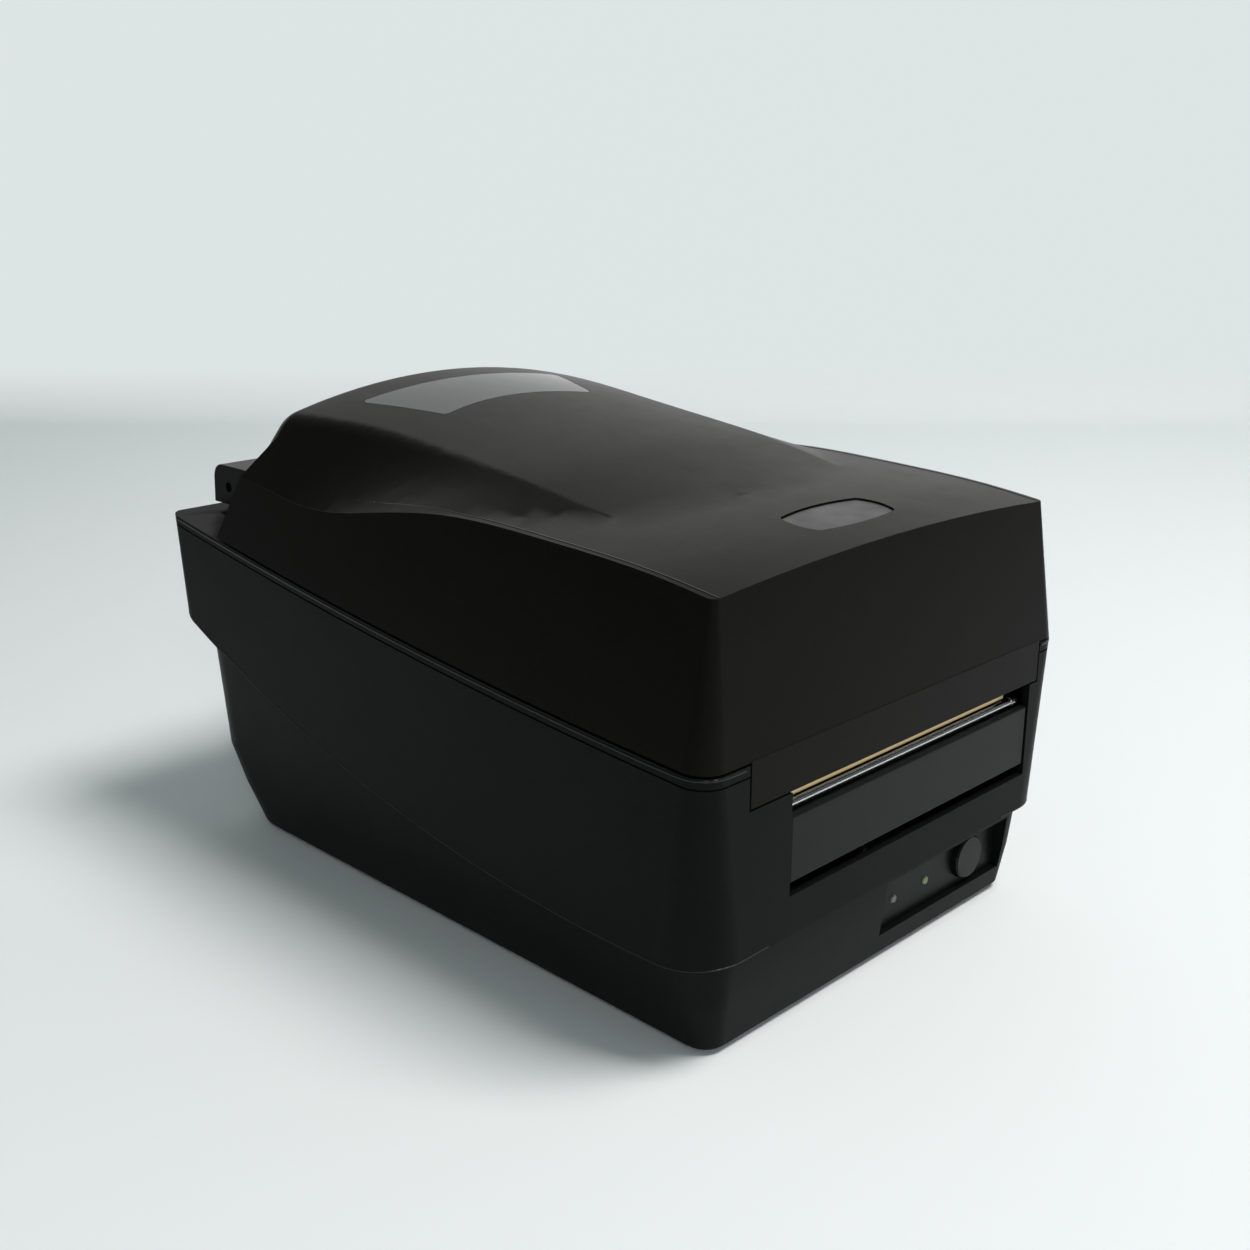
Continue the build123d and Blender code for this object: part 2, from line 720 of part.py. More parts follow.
spring_room = control_board_y - button_back - button_travel - running
button_spring = spring(button_x, button_back, button_z, spring_room, 4.5, 0.35, 3, axis_y=True)
button_spring.label = "button_spring"
export_step(button_spring, "parts/button_spring.step")

for name, (x, z) in zip(("lamp_left", "lamp_right"), lamp_spots):
    with BuildPart() as lamp:
        rod_y(x, panel_y - panel_sheet - 0.5, control_board_y, z, lamp_radius)
        chamfer(lamp.faces().sort_by(Axis.Y)[0].edges(), 0.4)
    lamp.part.label = name
    export_step(lamp.part, f"parts/{name}.step")

with BuildPart() as control_board:
    block(4, 74, control_board_y, control_board_y + board_thickness, 7.5, 33)
    block(30, 42, control_board_y + board_thickness, control_board_y + 4, 12, 20)
control_board.part.label = "control_board"
export_step(control_board.part, "parts/control_board.step")

# Chassis
with BuildPart() as chassis_left:
    side_profile(plate_outline, plate_left - plate_thickness, plate_left)
    block(plate_left - plate_thickness, plate_left + 12, -100, -10, floor_top, floor_top + 1.6)
    rod_x(plate_left - 3, plate_left + 1, platen_y, platen_z, bush_radius + running, mode=Mode.SUBTRACT)
    rod_x(plate_left - 3, plate_left + 1, module_pivot_y, module_pivot_z, shaft_radius + running,
          mode=Mode.SUBTRACT)
    rod_x(plate_left - 3, plate_left + 1, motor_y, motor_z, 4.0, mode=Mode.SUBTRACT)
    rod_x(plate_left - 3, plate_left + 1, idler_y, idler_z, idler_pin_radius, mode=Mode.SUBTRACT)
    for x, y in chassis_screw_spots[:2]:
        rod_z(x, y, floor_top - 1, floor_top + 3, 1.5, mode=Mode.SUBTRACT)
chassis_left.part.label = "chassis_left"
export_step(chassis_left.part, "parts/chassis_left.step")

with BuildPart() as chassis_right:
    side_profile(plate_outline, plate_right, plate_right + plate_thickness)
    block(plate_right - 12, plate_right + plate_thickness, -100, -10, floor_top, floor_top + 1.6)
    rod_x(plate_right - 1, plate_right + 3, platen_y, platen_z, bush_radius + running, mode=Mode.SUBTRACT)
    rod_x(plate_right - 1, plate_right + 3, module_pivot_y, module_pivot_z, shaft_radius + running,
          mode=Mode.SUBTRACT)
    for x, y in chassis_screw_spots[2:]:
        rod_z(x, y, floor_top - 1, floor_top + 3, 1.5, mode=Mode.SUBTRACT)
chassis_right.part.label = "chassis_right"
export_step(chassis_right.part, "parts/chassis_right.step")

with BuildPart() as chassis_screws:
    for x, y in chassis_screw_spots:
        rod_z(x, y, floor_top - 1.4, floor_top + 1.6, 1.4)
        rod_z(x, y, floor_top + 1.6, floor_top + 3.2, 2.8)
chassis_screws.part.label = "chassis_screws"
export_step(chassis_screws.part, "parts/chassis_screws.step")

outer_left = plate_left - plate_thickness
outer_right = plate_right + plate_thickness
with BuildPart() as cross_bracket:
    block(outer_left - 1.4, outer_right + 1.4, bracket_y, bracket_y + 1.4, *bracket_z)
    for x0, x1 in ((outer_left - 1.4, outer_left - running), (outer_right + running, outer_right + 1.4)):
        block(x0, x1, bracket_y, -122, bracket_z[0], bracket_z[1] - 2)
    for x0, x1 in ((outer_left + 1, roller_x[0] - 1), (roller_x[1] + 2, outer_right)):
        block(x0, x1, bracket_y, bracket_y + 1.4, bracket_z[1] - 1, 79.8)
cross_bracket.part.label = "cross_bracket"
export_step(cross_bracket.part, "parts/cross_bracket.step")

with BuildPart() as lower_bar:
    rod_x(-53.5, 75.5, bracket_y - bar_radius - running, bar_z, bar_radius)
    rod_x(72, 74, bracket_y - bar_radius - running, bar_z, bar_radius + 0.3)
lower_bar.part.label = "lower_bar"
export_step(lower_bar.part, "parts/lower_bar.step")

with BuildPart() as guide_strip:
    block(-54.5, 69.5, bracket_y - 0.9, bracket_y - running, 77.3, 79.6)
guide_strip.part.label = "guide_strip"
export_step(guide_strip.part, "parts/guide_strip.step")

with BuildPart() as front_plate:
    block(exit_x[0] + 0.5, exit_x[1] - 0.5, front_y + 0.4, front_y + 3, *plate_z)
    chamfer(front_plate.faces().sort_by(Axis.Y)[0].edges(), 0.4)
    for x in (-38, 54):
        block(x - 5, x + 5, front_y + 2.5, bracket_y - running, 54, 62)
front_plate.part.label = "front_plate"
export_step(front_plate.part, "parts/front_plate.step")

# Platen and drive
with BuildPart() as platen_roller:
    rod_x(*roller_x, platen_y, platen_z, platen_radius)
    rod_x(*roller_x, platen_y, platen_z, shaft_radius, mode=Mode.SUBTRACT)
platen_roller.part.label = "platen_roller"
export_step(platen_roller.part, "parts/platen_roller.step")

with BuildPart() as platen_shaft:
    rod_x(gear_x[0] - 1, outer_right + 2.5, platen_y, platen_z, shaft_radius)
platen_shaft.part.label = "platen_shaft"
export_step(platen_shaft.part, "parts/platen_shaft.step")

with BuildPart() as platen_bushes:
    for inner, outer in ((plate_left + 0.6, outer_left), (plate_right - 0.6, outer_right)):
        beyond = outer + math.copysign(1.2, outer)
        near = outer + math.copysign(running, outer)
        rod_x(min(inner, beyond), max(inner, beyond), platen_y, platen_z, bush_radius)
        rod_x(min(near, beyond), max(near, beyond), platen_y, platen_z, bush_radius + 1.5)
        rod_x(min(inner, beyond) - 1, max(inner, beyond) + 1, platen_y, platen_z, shaft_radius + running,
              mode=Mode.SUBTRACT)
platen_bushes.part.label = "platen_bushes"
export_step(platen_bushes.part, "parts/platen_bushes.step")

platen_gear = gear(*gear_x, platen_y, platen_z, platen_gear_radius, 25, shaft_radius)
platen_gear.label = "platen_gear"
export_step(platen_gear, "parts/platen_gear.step")

with BuildPart() as idler_gear:
    add(gear(*gear_x, idler_y, idler_z, idler_small_radius, 16, idler_pin_radius + running))
    add(gear(*drive_gear_x, idler_y, idler_z, idler_big_radius, 36, idler_pin_radius + running))
    rod_x(drive_gear_x[1] - 0.5, gear_x[0] + 0.5, idler_y, idler_z, 5)
    rod_x(drive_gear_x[0] - 1, gear_x[1] + 1, idler_y, idler_z, idler_pin_radius + running,
          mode=Mode.SUBTRACT)
idler_gear.part.label = "idler_gear"
export_step(idler_gear.part, "parts/idler_gear.step")

with BuildPart() as idler_pin:
    rod_x(drive_gear_x[0] - 1, plate_left, idler_y, idler_z, idler_pin_radius)
    rod_x(gear_x[1] + 0.5, outer_left, idler_y, idler_z, idler_pin_radius + 2)
idler_pin.part.label = "idler_pin"
export_step(idler_pin.part, "parts/idler_pin.step")

with BuildPart() as drive_motor:
    block(plate_left, plate_left + motor_length, motor_y - motor_size / 2, motor_y + motor_size / 2,
          motor_z - motor_size / 2, motor_z + motor_size / 2)
    chamfer(drive_motor.edges().filter_by(Axis.X), 4)
    rod_x(plate_left - 1, plate_left + 20, motor_y, motor_z, 2.5 + running, mode=Mode.SUBTRACT)
drive_motor.part.label = "drive_motor"
export_step(drive_motor.part, "parts/drive_motor.step")

with BuildPart() as motor_shaft:
    rod_x(drive_gear_x[0] - 1, plate_left + 19, motor_y, motor_z, 2.5)
motor_shaft.part.label = "motor_shaft"
export_step(motor_shaft.part, "parts/motor_shaft.step")

motor_pinion = gear(*drive_gear_x, motor_y, motor_z, pinion_radius, 12, 2.5)
motor_pinion.label = "motor_pinion"
export_step(motor_pinion, "parts/motor_pinion.step")

# Print module
cheeks = ((cheek_left, cheek_left + cheek), (cheek_right - cheek, cheek_right))
between = (cheek_left + cheek - 0.5, cheek_right - cheek + 0.5)
with BuildPart() as module_frame:
    for x0, x1 in cheeks:
        side_profile(cheek_outline, x0, x1, radius=3.0)
    block(*between, -129, -111, beam_bottom, 104)
    block(*between, -66, -58, 96, 101)
    side_profile(((-130, 103), (-120, 121), (-118, 120), (-127, 103)), *between)
    rod_x(cheek_left, cheek_right, module_pivot_y, module_pivot_z, 6)
    rod_x(cheek_left, -44, latch_y, latch_z, 2.5)
    rod_x(-45.5, -44, latch_y, latch_z, 4)
    rod_x(cheek_left - 1, cheek_right + 1, module_pivot_y, module_pivot_z, shaft_radius + running,
          mode=Mode.SUBTRACT)
    for y in (takeup_y, supply_y):
        rod_x(cheek_left - 1, cheek_right + 1, y, ribbon_z, shaft_radius + running, mode=Mode.SUBTRACT)
    for x in head_spring_x:
        rod_z(x, -120, beam_bottom - 1, spring_top, 4.2, mode=Mode.SUBTRACT)
    for x in head_pin_x:
        rod_z(x, -120, beam_bottom - 1, 110, 2.0 + running, mode=Mode.SUBTRACT)
module_frame.part.label = "module_frame"
export_step(module_frame.part, "parts/module_frame.step")

with BuildPart() as module_shaft:
    rod_x(outer_left - 1, outer_right + 1, module_pivot_y, module_pivot_z, shaft_radius)
module_shaft.part.label = "module_shaft"
export_step(module_shaft.part, "parts/module_shaft.step")

with BuildPart() as tear_bar:
    block(cheek_left, cheek_right, -134.6, -133.7, 80.2, 84.2)
    for x0, x1 in cheeks:
        block(x0, x1, -134.6, cheek_outline[0][0] - running, 82.2, 92)
tear_bar.part.label = "tear_bar"
export_step(tear_bar.part, "parts/tear_bar.step")

with BuildPart() as print_head:
    block(-50, 62, -128, -114, head_bottom, head_top - 4)
    fillet(print_head.faces().sort_by(Axis.Z)[0].edges().filter_by(Axis.X), 0.6)
print_head.part.label = "print_head"
export_step(print_head.part, "parts/print_head.step")

with BuildPart() as head_sink:
    block(-50, 62, -128, -112, head_top - 4, head_top)
    for x in head_pin_x:
        rod_z(x, -120, head_top - 1, 106, 2.0)
head_sink.part.label = "head_sink"
export_step(head_sink.part, "parts/head_sink.step")

for name, x in zip(("head_spring_left", "head_spring_right"), head_spring_x):
    coil = spring(x, -120, head_top, spring_top - head_top, 3.2, 0.4, 4)
    coil.label = name
    export_step(coil, f"parts/{name}.step")

with BuildPart() as release_lever:
    side_profile(((-110, 107), (-102.6, 107), (-103.5, 138), (-109, 139)), -50, -46, radius=1.5)
    block(-50, -36, -109, -103.6, 135, 138)
    rod_x(-55, -40, latch_y, latch_z, 2.5 + running, mode=Mode.SUBTRACT)
release_lever.part.label = "release_lever"
export_step(release_lever.part, "parts/release_lever.step")

for name, y in (("takeup_spindle", takeup_y), ("supply_spindle", supply_y)):
    with BuildPart() as spindle:
        rod_x(cheek_left, cheek_right, y, ribbon_z, shaft_radius)
        rod_x(spindle_x[0], spindle_x[1], y, ribbon_z, 6)
        for x0, x1 in ((spindle_x[0], spindle_x[0] + 1.5), (spindle_x[1] - 1.5, spindle_x[1])):
            rod_x(x0, x1, y, ribbon_z, 10)
        block(spindle_x[0] + 2, spindle_x[1] - 2, y - 1, y + 1, ribbon_z - 7.5, ribbon_z + 7.5)
        block(spindle_x[0] + 2, spindle_x[1] - 2, y - 7.5, y + 7.5, ribbon_z - 1, ribbon_z + 1)
    spindle.part.label = name
    export_step(spindle.part, f"parts/{name}.step")

# Media bay
bay_inner = bay_region(-far_side, far_side, 0.0)
bay_outer = bay_region(plate_left + 0.2, plate_right - 0.2, liner_wall)
bay_walls = [
    bay_region(x0, x1, liner_wall)
    for x0, x1 in ((outer_left - 0.3, plate_left + 0.2), (plate_right - 0.2, outer_right + 0.3))
]
with BuildPart() as bay_sides:
    for wall in bay_walls:
        add(wall)
    block(-far_side, far_side, 0.4, 120, 30, 130, mode=Mode.INTERSECT)
with BuildPart() as under_decks:
    add(under_liner)
    block(outer_left - 0.3, outer_right + 0.3, -200, 200, 0, 200, mode=Mode.SUBTRACT)
with BuildPart() as media_liner:
    add(bay_outer)
    add(bay_inner, mode=Mode.SUBTRACT)
    block(-far_side, far_side, ramp_end[0], 120, 30, 130, mode=Mode.INTERSECT)
    add(bay_sides.part)
    for x0, x1 in ((-far_side, outer_left - 0.3), (outer_right + 0.3, far_side)):
        block(x0, x1, front_y, rear_deck_y - 0.2, 80, 125)
    add(cabinet_prism(cabinet_wall + 0.2), mode=Mode.INTERSECT)
    add(below_liner, mode=Mode.INTERSECT)
    add(under_decks.part, mode=Mode.SUBTRACT)
    for x0, x1 in ((-64, plate_left + 1), (plate_right - 1, 78)):
        block(x0, x1, bay_y - media_rod_radius - media_gap, bay_y + media_rod_radius + media_gap, bay_z, 130,
              mode=Mode.SUBTRACT)
        rod_x(x0, x1, bay_y, bay_z, media_rod_radius + media_gap, mode=Mode.SUBTRACT)
media_liner.part.label = "media_liner"
export_step(media_liner.part, "parts/media_liner.step")

with BuildPart() as media_spindle:
    rod_x(-60, 74, bay_y, bay_z, media_rod_radius)
    for x0, x1 in ((-60, -58.5), (72.5, 74)):
        rod_x(x0, x1, bay_y, bay_z, media_rod_radius - 1.5, mode=Mode.SUBTRACT)
media_spindle.part.label = "media_spindle"
export_step(media_spindle.part, "parts/media_spindle.step")

for name, x0, x1, inward in (("media_hub_left", -48, -45, 1), ("media_hub_right", 59, 62, -1)):
    with BuildPart() as hub:
        rod_x(x0, x1, bay_y, bay_z, 24)
        middle = (x0 + x1) / 2
        rod_x(min(middle, middle + 14 * inward), max(middle, middle + 14 * inward), bay_y, bay_z, 12.5)
        rod_x(-80, 80, bay_y, bay_z, media_rod_radius, mode=Mode.SUBTRACT)
    hub.part.label = name
    export_step(hub.part, f"parts/{name}.step")

for name, wall, foot_end in (("media_guide_left", guide_x[0], 9), ("media_guide_right", guide_x[1], -9)):
    with BuildPart() as guide:
        low = [(y, ramp_height(y) + seat_gap) for y in guide_y]
        edge = wall + foot_end
        upper = [(y, z + 1.5) for y, z in reversed(low)]
        side_profile([*low, *upper], min(wall, edge), max(wall, edge))
        top = [(guide_y[1] - 3, low[1][1] + 9), (guide_y[0] + 3, low[0][1] + 9)]
        thick = math.copysign(2, foot_end)
        side_profile([*low, *top], min(wall, wall + thick), max(wall, wall + thick))
    guide.part.label = name
    export_step(guide.part, f"parts/{name}.step")

with BuildPart() as media_sensor:
    low = [(y, ramp_height(y) + seat_gap) for y in sensor_y]
    side_profile([*low, (sensor_y[1] - 1, 79.6), (sensor_y[0] + 1, 79.6)], path_centre - 7, path_centre + 7)
media_sensor.part.label = "media_sensor"
export_step(media_sensor.part, "parts/media_sensor.step")

# Electronics and rear sockets
with BuildPart() as main_board:
    block(-48, 62, 8, 108, board_z, board_z + board_thickness)
    block(-20, 8, 40, 68, board_z + board_thickness, board_z + 5)
    block(24, 40, 30, 60, board_z + board_thickness, board_z + 5)
    block(-44, -36, 20, 60, board_z + board_thickness, board_z + 9)
main_board.part.label = "main_board"
export_step(main_board.part, "parts/main_board.step")

with BuildPart() as port_board:
    block(-58, 60, port_board_y - board_thickness, port_board_y, board_z + board_thickness + 0.2, 56)
port_board.part.label = "port_board"
export_step(port_board.part, "parts/port_board.step")

for name, (x, z, width, height) in zip(socket_names, sockets):
    reach = 3.6 if "port" in name else 1.6
    with BuildPart() as socket:
        block(x - width / 2 + 0.2, x + width / 2 - 0.2, port_board_y, socket_panel_y + reach,
              z - height / 2 + 0.2, z + height / 2 - 0.2)
        block(x - width / 2 - 1.6, x + width / 2 + 1.6, socket_panel_y, socket_panel_y + 0.9,
              z - height / 2 - 1.4, z + height / 2 + 1.4)
        if name == "power_jack":
            rod_y(x, socket_panel_y - 6, rear_y, z, 3.6, mode=Mode.SUBTRACT)
            rod_y(x, socket_panel_y - 6.5, socket_panel_y + 0.6, z, 1.0)
        elif name == "switch_frame":
            block(x - width / 2 + 1.4, x + width / 2 - 1.4, socket_panel_y - 7, rear_y,
                  z - height / 2 + 1.4, z + height / 2 - 1.4, mode=Mode.SUBTRACT)
        else:
            block(x - width / 2 + 1.1, x + width / 2 - 1.1, socket_panel_y - 6, rear_y,
                  z - height / 2 + 1.1, z + height / 2 - 1.1, mode=Mode.SUBTRACT)
            block(x - width / 2 + 3.4, x + width / 2 - 3.4,
                  socket_panel_y - 6.5, socket_panel_y + reach - 1.4,
                  z - height / 2 + 3.4, z + height / 2 - 3.4)
    socket.part.label = name
    export_step(socket.part, f"parts/{name}.step")

switch_x, switch_z, switch_width, switch_height = sockets[socket_names.index("switch_frame")]
with BuildPart() as switch_rocker:
    with BuildSketch(Plane.XY.offset(switch_z - switch_height / 2 + 1.4 + 0.3)) as rocker_plan:
        with BuildLine():
            Polyline(
                (switch_x - 7.6, socket_panel_y + 3.4), (switch_x, socket_panel_y + 1.4),
                (switch_x + 7.6, socket_panel_y + 1.4), (switch_x + 7.2, socket_panel_y - 1.5),
                (switch_x, socket_panel_y - 4), (switch_x - 7.2, socket_panel_y - 1.5), close=True,
            )
        make_face()
    extrude(rocker_plan.sketch, amount=switch_height - 2.8 - 0.6)
switch_rocker.part.label = "switch_rocker"
export_step(switch_rocker.part, "parts/switch_rocker.step")
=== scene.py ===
"""Looks of a desktop barcode printer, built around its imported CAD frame.

Every piece is in metres in the frame's own axes: +Z up, the label exit faces -Y, and the cover
hinge runs along X at the rear.
"""

import json
import logging
import math
from dataclasses import dataclass, field
from enum import Enum

import bmesh
import bpy
from mathutils import Matrix, Vector
from mathutils.bvhtree import BVHTree

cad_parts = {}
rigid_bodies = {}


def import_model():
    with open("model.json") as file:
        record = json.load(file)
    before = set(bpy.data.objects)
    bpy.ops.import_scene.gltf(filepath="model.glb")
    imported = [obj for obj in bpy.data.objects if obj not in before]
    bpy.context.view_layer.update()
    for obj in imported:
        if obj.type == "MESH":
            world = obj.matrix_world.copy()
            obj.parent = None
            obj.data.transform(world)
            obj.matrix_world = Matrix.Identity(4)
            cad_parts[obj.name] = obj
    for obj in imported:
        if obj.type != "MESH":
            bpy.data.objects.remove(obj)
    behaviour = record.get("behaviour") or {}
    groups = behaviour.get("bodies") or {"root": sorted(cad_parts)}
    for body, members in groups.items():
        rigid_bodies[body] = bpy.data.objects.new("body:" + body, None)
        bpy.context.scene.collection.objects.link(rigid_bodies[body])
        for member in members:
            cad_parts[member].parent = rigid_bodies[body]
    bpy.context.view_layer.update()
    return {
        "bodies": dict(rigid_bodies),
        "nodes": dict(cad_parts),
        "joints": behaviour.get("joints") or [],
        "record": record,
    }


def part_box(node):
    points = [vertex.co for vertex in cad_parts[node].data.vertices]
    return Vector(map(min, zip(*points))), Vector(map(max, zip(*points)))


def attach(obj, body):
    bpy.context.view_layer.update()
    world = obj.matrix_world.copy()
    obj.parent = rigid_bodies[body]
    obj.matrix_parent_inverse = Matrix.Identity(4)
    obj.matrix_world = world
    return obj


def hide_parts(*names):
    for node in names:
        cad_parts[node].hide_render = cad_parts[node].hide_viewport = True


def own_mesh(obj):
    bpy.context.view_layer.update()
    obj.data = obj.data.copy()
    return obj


Tree, Node, Socket = bpy.types.NodeTree, bpy.types.Node, bpy.types.NodeSocket
Triple = tuple[float, float, float]
Tint = tuple[float, float, float, float]

MM = 0.001
UP = Vector((0.0, 0.0, 1.0))
PHOTO_SIDE = 1250  # side of the photograph, in pixels
OUTSIDE = 0.2  # half-width that is surely outside the printer

# Meshes: which corners and faces are one, and which edges are sharp or rounded.
MERGE_DISTANCE = 0.002 * MM
FLAT_ANGLE = math.radians(0.02)
SHARP_ANGLE = math.radians(34)
BEVEL_ANGLE = math.radians(38)
MOULD_SEGMENTS = 3  # segments across the rounded edges of the outer mouldings

# Patterns of every finish: size of a blob, octaves of detail and the part of the noise in use.
MOTTLE_SIZE, MOTTLE_DETAIL, MOTTLE_RANGE = 22 * MM, 3.0, (0.35, 0.65)
WEAR_SIZE, WEAR_DETAIL, WEAR_RANGE = 9 * MM, 5.0, (0.3, 0.7)
GRAIN_DETAIL = 3.0
BRUSH_SCALE = (0.03, 1.0, 1.0)  # draws a brushed pattern out along X
COAT_ROUGHNESS = 0.2

log = logging.getLogger("barcode_printer")


class Grain(Enum):
    """Which way the fine relief of a surface runs."""

    EVEN = "the same in every direction"
    BRUSHED = "drawn out along X"


class Side(Enum):
    """Side of the printer, with its sign along X."""

    LEFT = -1
    RIGHT = 1


def set_inputs(node: Node, values: dict[str, float | Triple | Tint]) -> None:
    """Set constants on a node's sockets.

    Args:
        node: The node.
        values: The constant of each socket, by the socket's name.
    """
    for name, value in values.items():
        node.inputs[name].default_value = value


@dataclass(frozen=True)
class Finish:
    """A procedural finish: colour, gloss and the fine relief of one material.

    Attributes:
        name: Name of the Blender material.
        colour: Linear base colour.
        metallic: 1 for metal, 0 for plastic.
        roughness: Middle of the roughness range.
        spread: How far the roughness wanders around its middle.
        specular: Specular level of the shader.
        grain: Which way the relief runs.
        grain_size: Size of one grain, in metres.
        grain_depth: Height of the relief, in metres.
        mottle: Strength of the slow colour variation.
        coat: Weight of a clear coat.
        clear: Transmission weight, for clear and smoked plastics.
    """

    name: str
    colour: Triple
    metallic: float = 0.0
    roughness: float = 0.45
    spread: float = 0.05
    specular: float = 0.5
    grain: Grain = Grain.EVEN
    grain_size: float = 0.6 * MM
    grain_depth: float = 0.02 * MM
    mottle: float = 0.08
    coat: float = 0.0
    clear: float = 0.0

    def build(self) -> bpy.types.Material:
        """Build the node material of this finish.

        Returns:
            The finished Blender material.
        """
        material = bpy.data.materials.new(self.name)
        material.use_nodes = True
        tree = material.node_tree
        shader = tree.nodes["Principled BSDF"]
        set_inputs(shader, {
            "Metallic": self.metallic,
            "Specular IOR Level": self.specular,
            "Coat Weight": self.coat,
            "Coat Roughness": COAT_ROUGHNESS,
            "Transmission Weight": self.clear,
        })
        place = self._place(tree)
        self._colour(tree, place, shader)
        self._roughness(tree, place, shader)
        self._relief(tree, place, shader)
        return material

    def _place(self, tree: Tree) -> Socket:
        """Object coordinates, drawn out along X for brushed metal.

        Args:
            tree: Node tree of the material.

        Returns:
            The vector socket that the patterns read.
        """
        coordinates = tree.nodes.new("ShaderNodeTexCoord")
        mapping = tree.nodes.new("ShaderNodeMapping")
        if self.grain is Grain.BRUSHED:
            mapping.inputs["Scale"].default_value = BRUSH_SCALE
        tree.links.new(coordinates.outputs["Object"], mapping.inputs["Vector"])
        return mapping.outputs["Vector"]

    def _noise(self, tree: Tree, place: Socket, size: float, detail: float) -> Socket:
        """One noise pattern.

        Args:
            tree: Node tree of the material.
            place: Vector socket to read.
            size: Size of a blob, in metres.
            detail: Octaves of detail.

        Returns:
            The noise value socket.
        """
        noise = tree.nodes.new("ShaderNodeTexNoise")
        set_inputs(noise, {"Scale": 1.0 / size, "Detail": detail})
        tree.links.new(place, noise.inputs["Vector"])
        return noise.outputs["Fac"]

    def _colour(self, tree: Tree, place: Socket, shader: Node) -> None:
        """Base colour with a slow mottle.

        Args:
            tree: Node tree of the material.
            place: Vector socket to read.
            shader: Principled shader node.
        """
        ramp = tree.nodes.new("ShaderNodeValToRGB")
        shares = (1.0 - self.mottle, 1.0 + self.mottle)
        for end, (position, share) in enumerate(zip(MOTTLE_RANGE, shares)):
            element = ramp.color_ramp.elements[end]
            element.position = position
            element.color = (*(min(c * share, 1.0) for c in self.colour), 1.0)
        blobs = self._noise(tree, place, MOTTLE_SIZE, MOTTLE_DETAIL)
        tree.links.new(blobs, ramp.inputs["Fac"])
        tree.links.new(ramp.outputs["Color"], shader.inputs["Base Color"])

    def _roughness(self, tree: Tree, place: Socket, shader: Node) -> None:
        """Roughness that wanders a little, as on handled plastic.

        Args:
            tree: Node tree of the material.
            place: Vector socket to read.
            shader: Principled shader node.
        """
        spread = tree.nodes.new("ShaderNodeMapRange")
        set_inputs(spread, {
            "From Min": WEAR_RANGE[0],
            "From Max": WEAR_RANGE[1],
            "To Min": self.roughness - self.spread,
            "To Max": self.roughness + self.spread,
        })
        blobs = self._noise(tree, place, WEAR_SIZE, WEAR_DETAIL)
        tree.links.new(blobs, spread.inputs["Value"])
        tree.links.new(spread.outputs["Result"], shader.inputs["Roughness"])

    def _relief(self, tree: Tree, place: Socket, shader: Node) -> None:
        """Fine bump of the surface texture.

        Args:
            tree: Node tree of the material.
            place: Vector socket to read.
            shader: Principled shader node.
        """
        bump = tree.nodes.new("ShaderNodeBump")
        set_inputs(bump, {"Distance": self.grain_depth, "Strength": 1.0})
        height = self._noise(tree, place, self.grain_size, GRAIN_DETAIL)
        tree.links.new(height, bump.inputs["Height"])
        tree.links.new(bump.outputs["Normal"], shader.inputs["Normal"])


DARK = (0.0056, 0.0053, 0.0042)
MOULD_GRAIN = 0.75 * MM

HOUSING = Finish("housing_abs", DARK, roughness=0.335, spread=0.012, specular=0.05,
                 grain_size=MOULD_GRAIN, grain_depth=0.035 * MM, mottle=0.04)
# Greenish-blue tint: partly the cabinet's own tone, partly painted bluish light that falls on the
# front.
SKIRT = Finish("cabinet_abs", (0.0053, 0.0059, 0.0055), roughness=0.4, spread=0.015,
               specular=0.05, grain_size=MOULD_GRAIN, grain_depth=0.03 * MM, mottle=0.04)
TRAY = Finish("tray_abs", (0.0063, 0.0068, 0.0065), roughness=0.44, spread=0.015,
              specular=0.06, grain_size=MOULD_GRAIN, grain_depth=0.035 * MM, mottle=0.04)
# Greenish-blue tint: partly the plate's own tone, partly painted bluish light that falls on the
# front.
PLATE = Finish("plate_abs", (0.0054, 0.0063, 0.006), roughness=0.38, spread=0.015,
               specular=0.13, grain_size=MOULD_GRAIN, grain_depth=0.03 * MM, mottle=0.04)
EDGE = Finish("edge_abs", DARK, roughness=0.3, spread=0.01, specular=0.3,
              grain_depth=0.004 * MM, mottle=0.04)
WINDOW = Finish("smoke_window", (0.034, 0.04, 0.038), roughness=0.14, spread=0.02,
                specular=0.12, grain_depth=0.002 * MM, mottle=0.03, clear=0.35)
BADGE = Finish("badge_plastic", (0.016, 0.018, 0.016), roughness=0.34, specular=0.26,
               grain_depth=0.01 * MM)
INNER = Finish("inner_plastic", (0.016, 0.0165, 0.016), roughness=0.5)
FILM = Finish("panel_film", (0.0052, 0.0056, 0.0056), roughness=0.38, spread=0.015,
              specular=0.13, grain_depth=0.012 * MM)
BUTTON = Finish("button_plastic", (0.006, 0.0068, 0.0072), roughness=0.27, spread=0.015,
                specular=0.14, grain_depth=0.008 * MM)
CLEAR_LAMP = Finish("clear_lamp", (0.11, 0.12, 0.115), roughness=0.22, coat=0.3, clear=0.2)
GREEN_LAMP = Finish("green_lamp", (0.15, 0.22, 0.06), roughness=0.22, coat=0.3, clear=0.2)
SHEET_STEEL = Finish("zinc_steel", (0.5, 0.51, 0.52), metallic=1.0, roughness=0.38,
                     grain=Grain.BRUSHED, grain_depth=0.01 * MM)
BRIGHT = Finish("polished_steel", (0.75, 0.76, 0.77), metallic=1.0, roughness=0.22,
                spread=0.04, grain=Grain.BRUSHED, grain_depth=0.004 * MM)
BRASS = Finish("brass_strip", (0.62, 0.47, 0.24), metallic=1.0, roughness=0.3,
               grain=Grain.BRUSHED, grain_depth=0.004 * MM)
GOLD = Finish("contact_gold", (0.8, 0.58, 0.2), metallic=1.0, roughness=0.25, mottle=0.03)
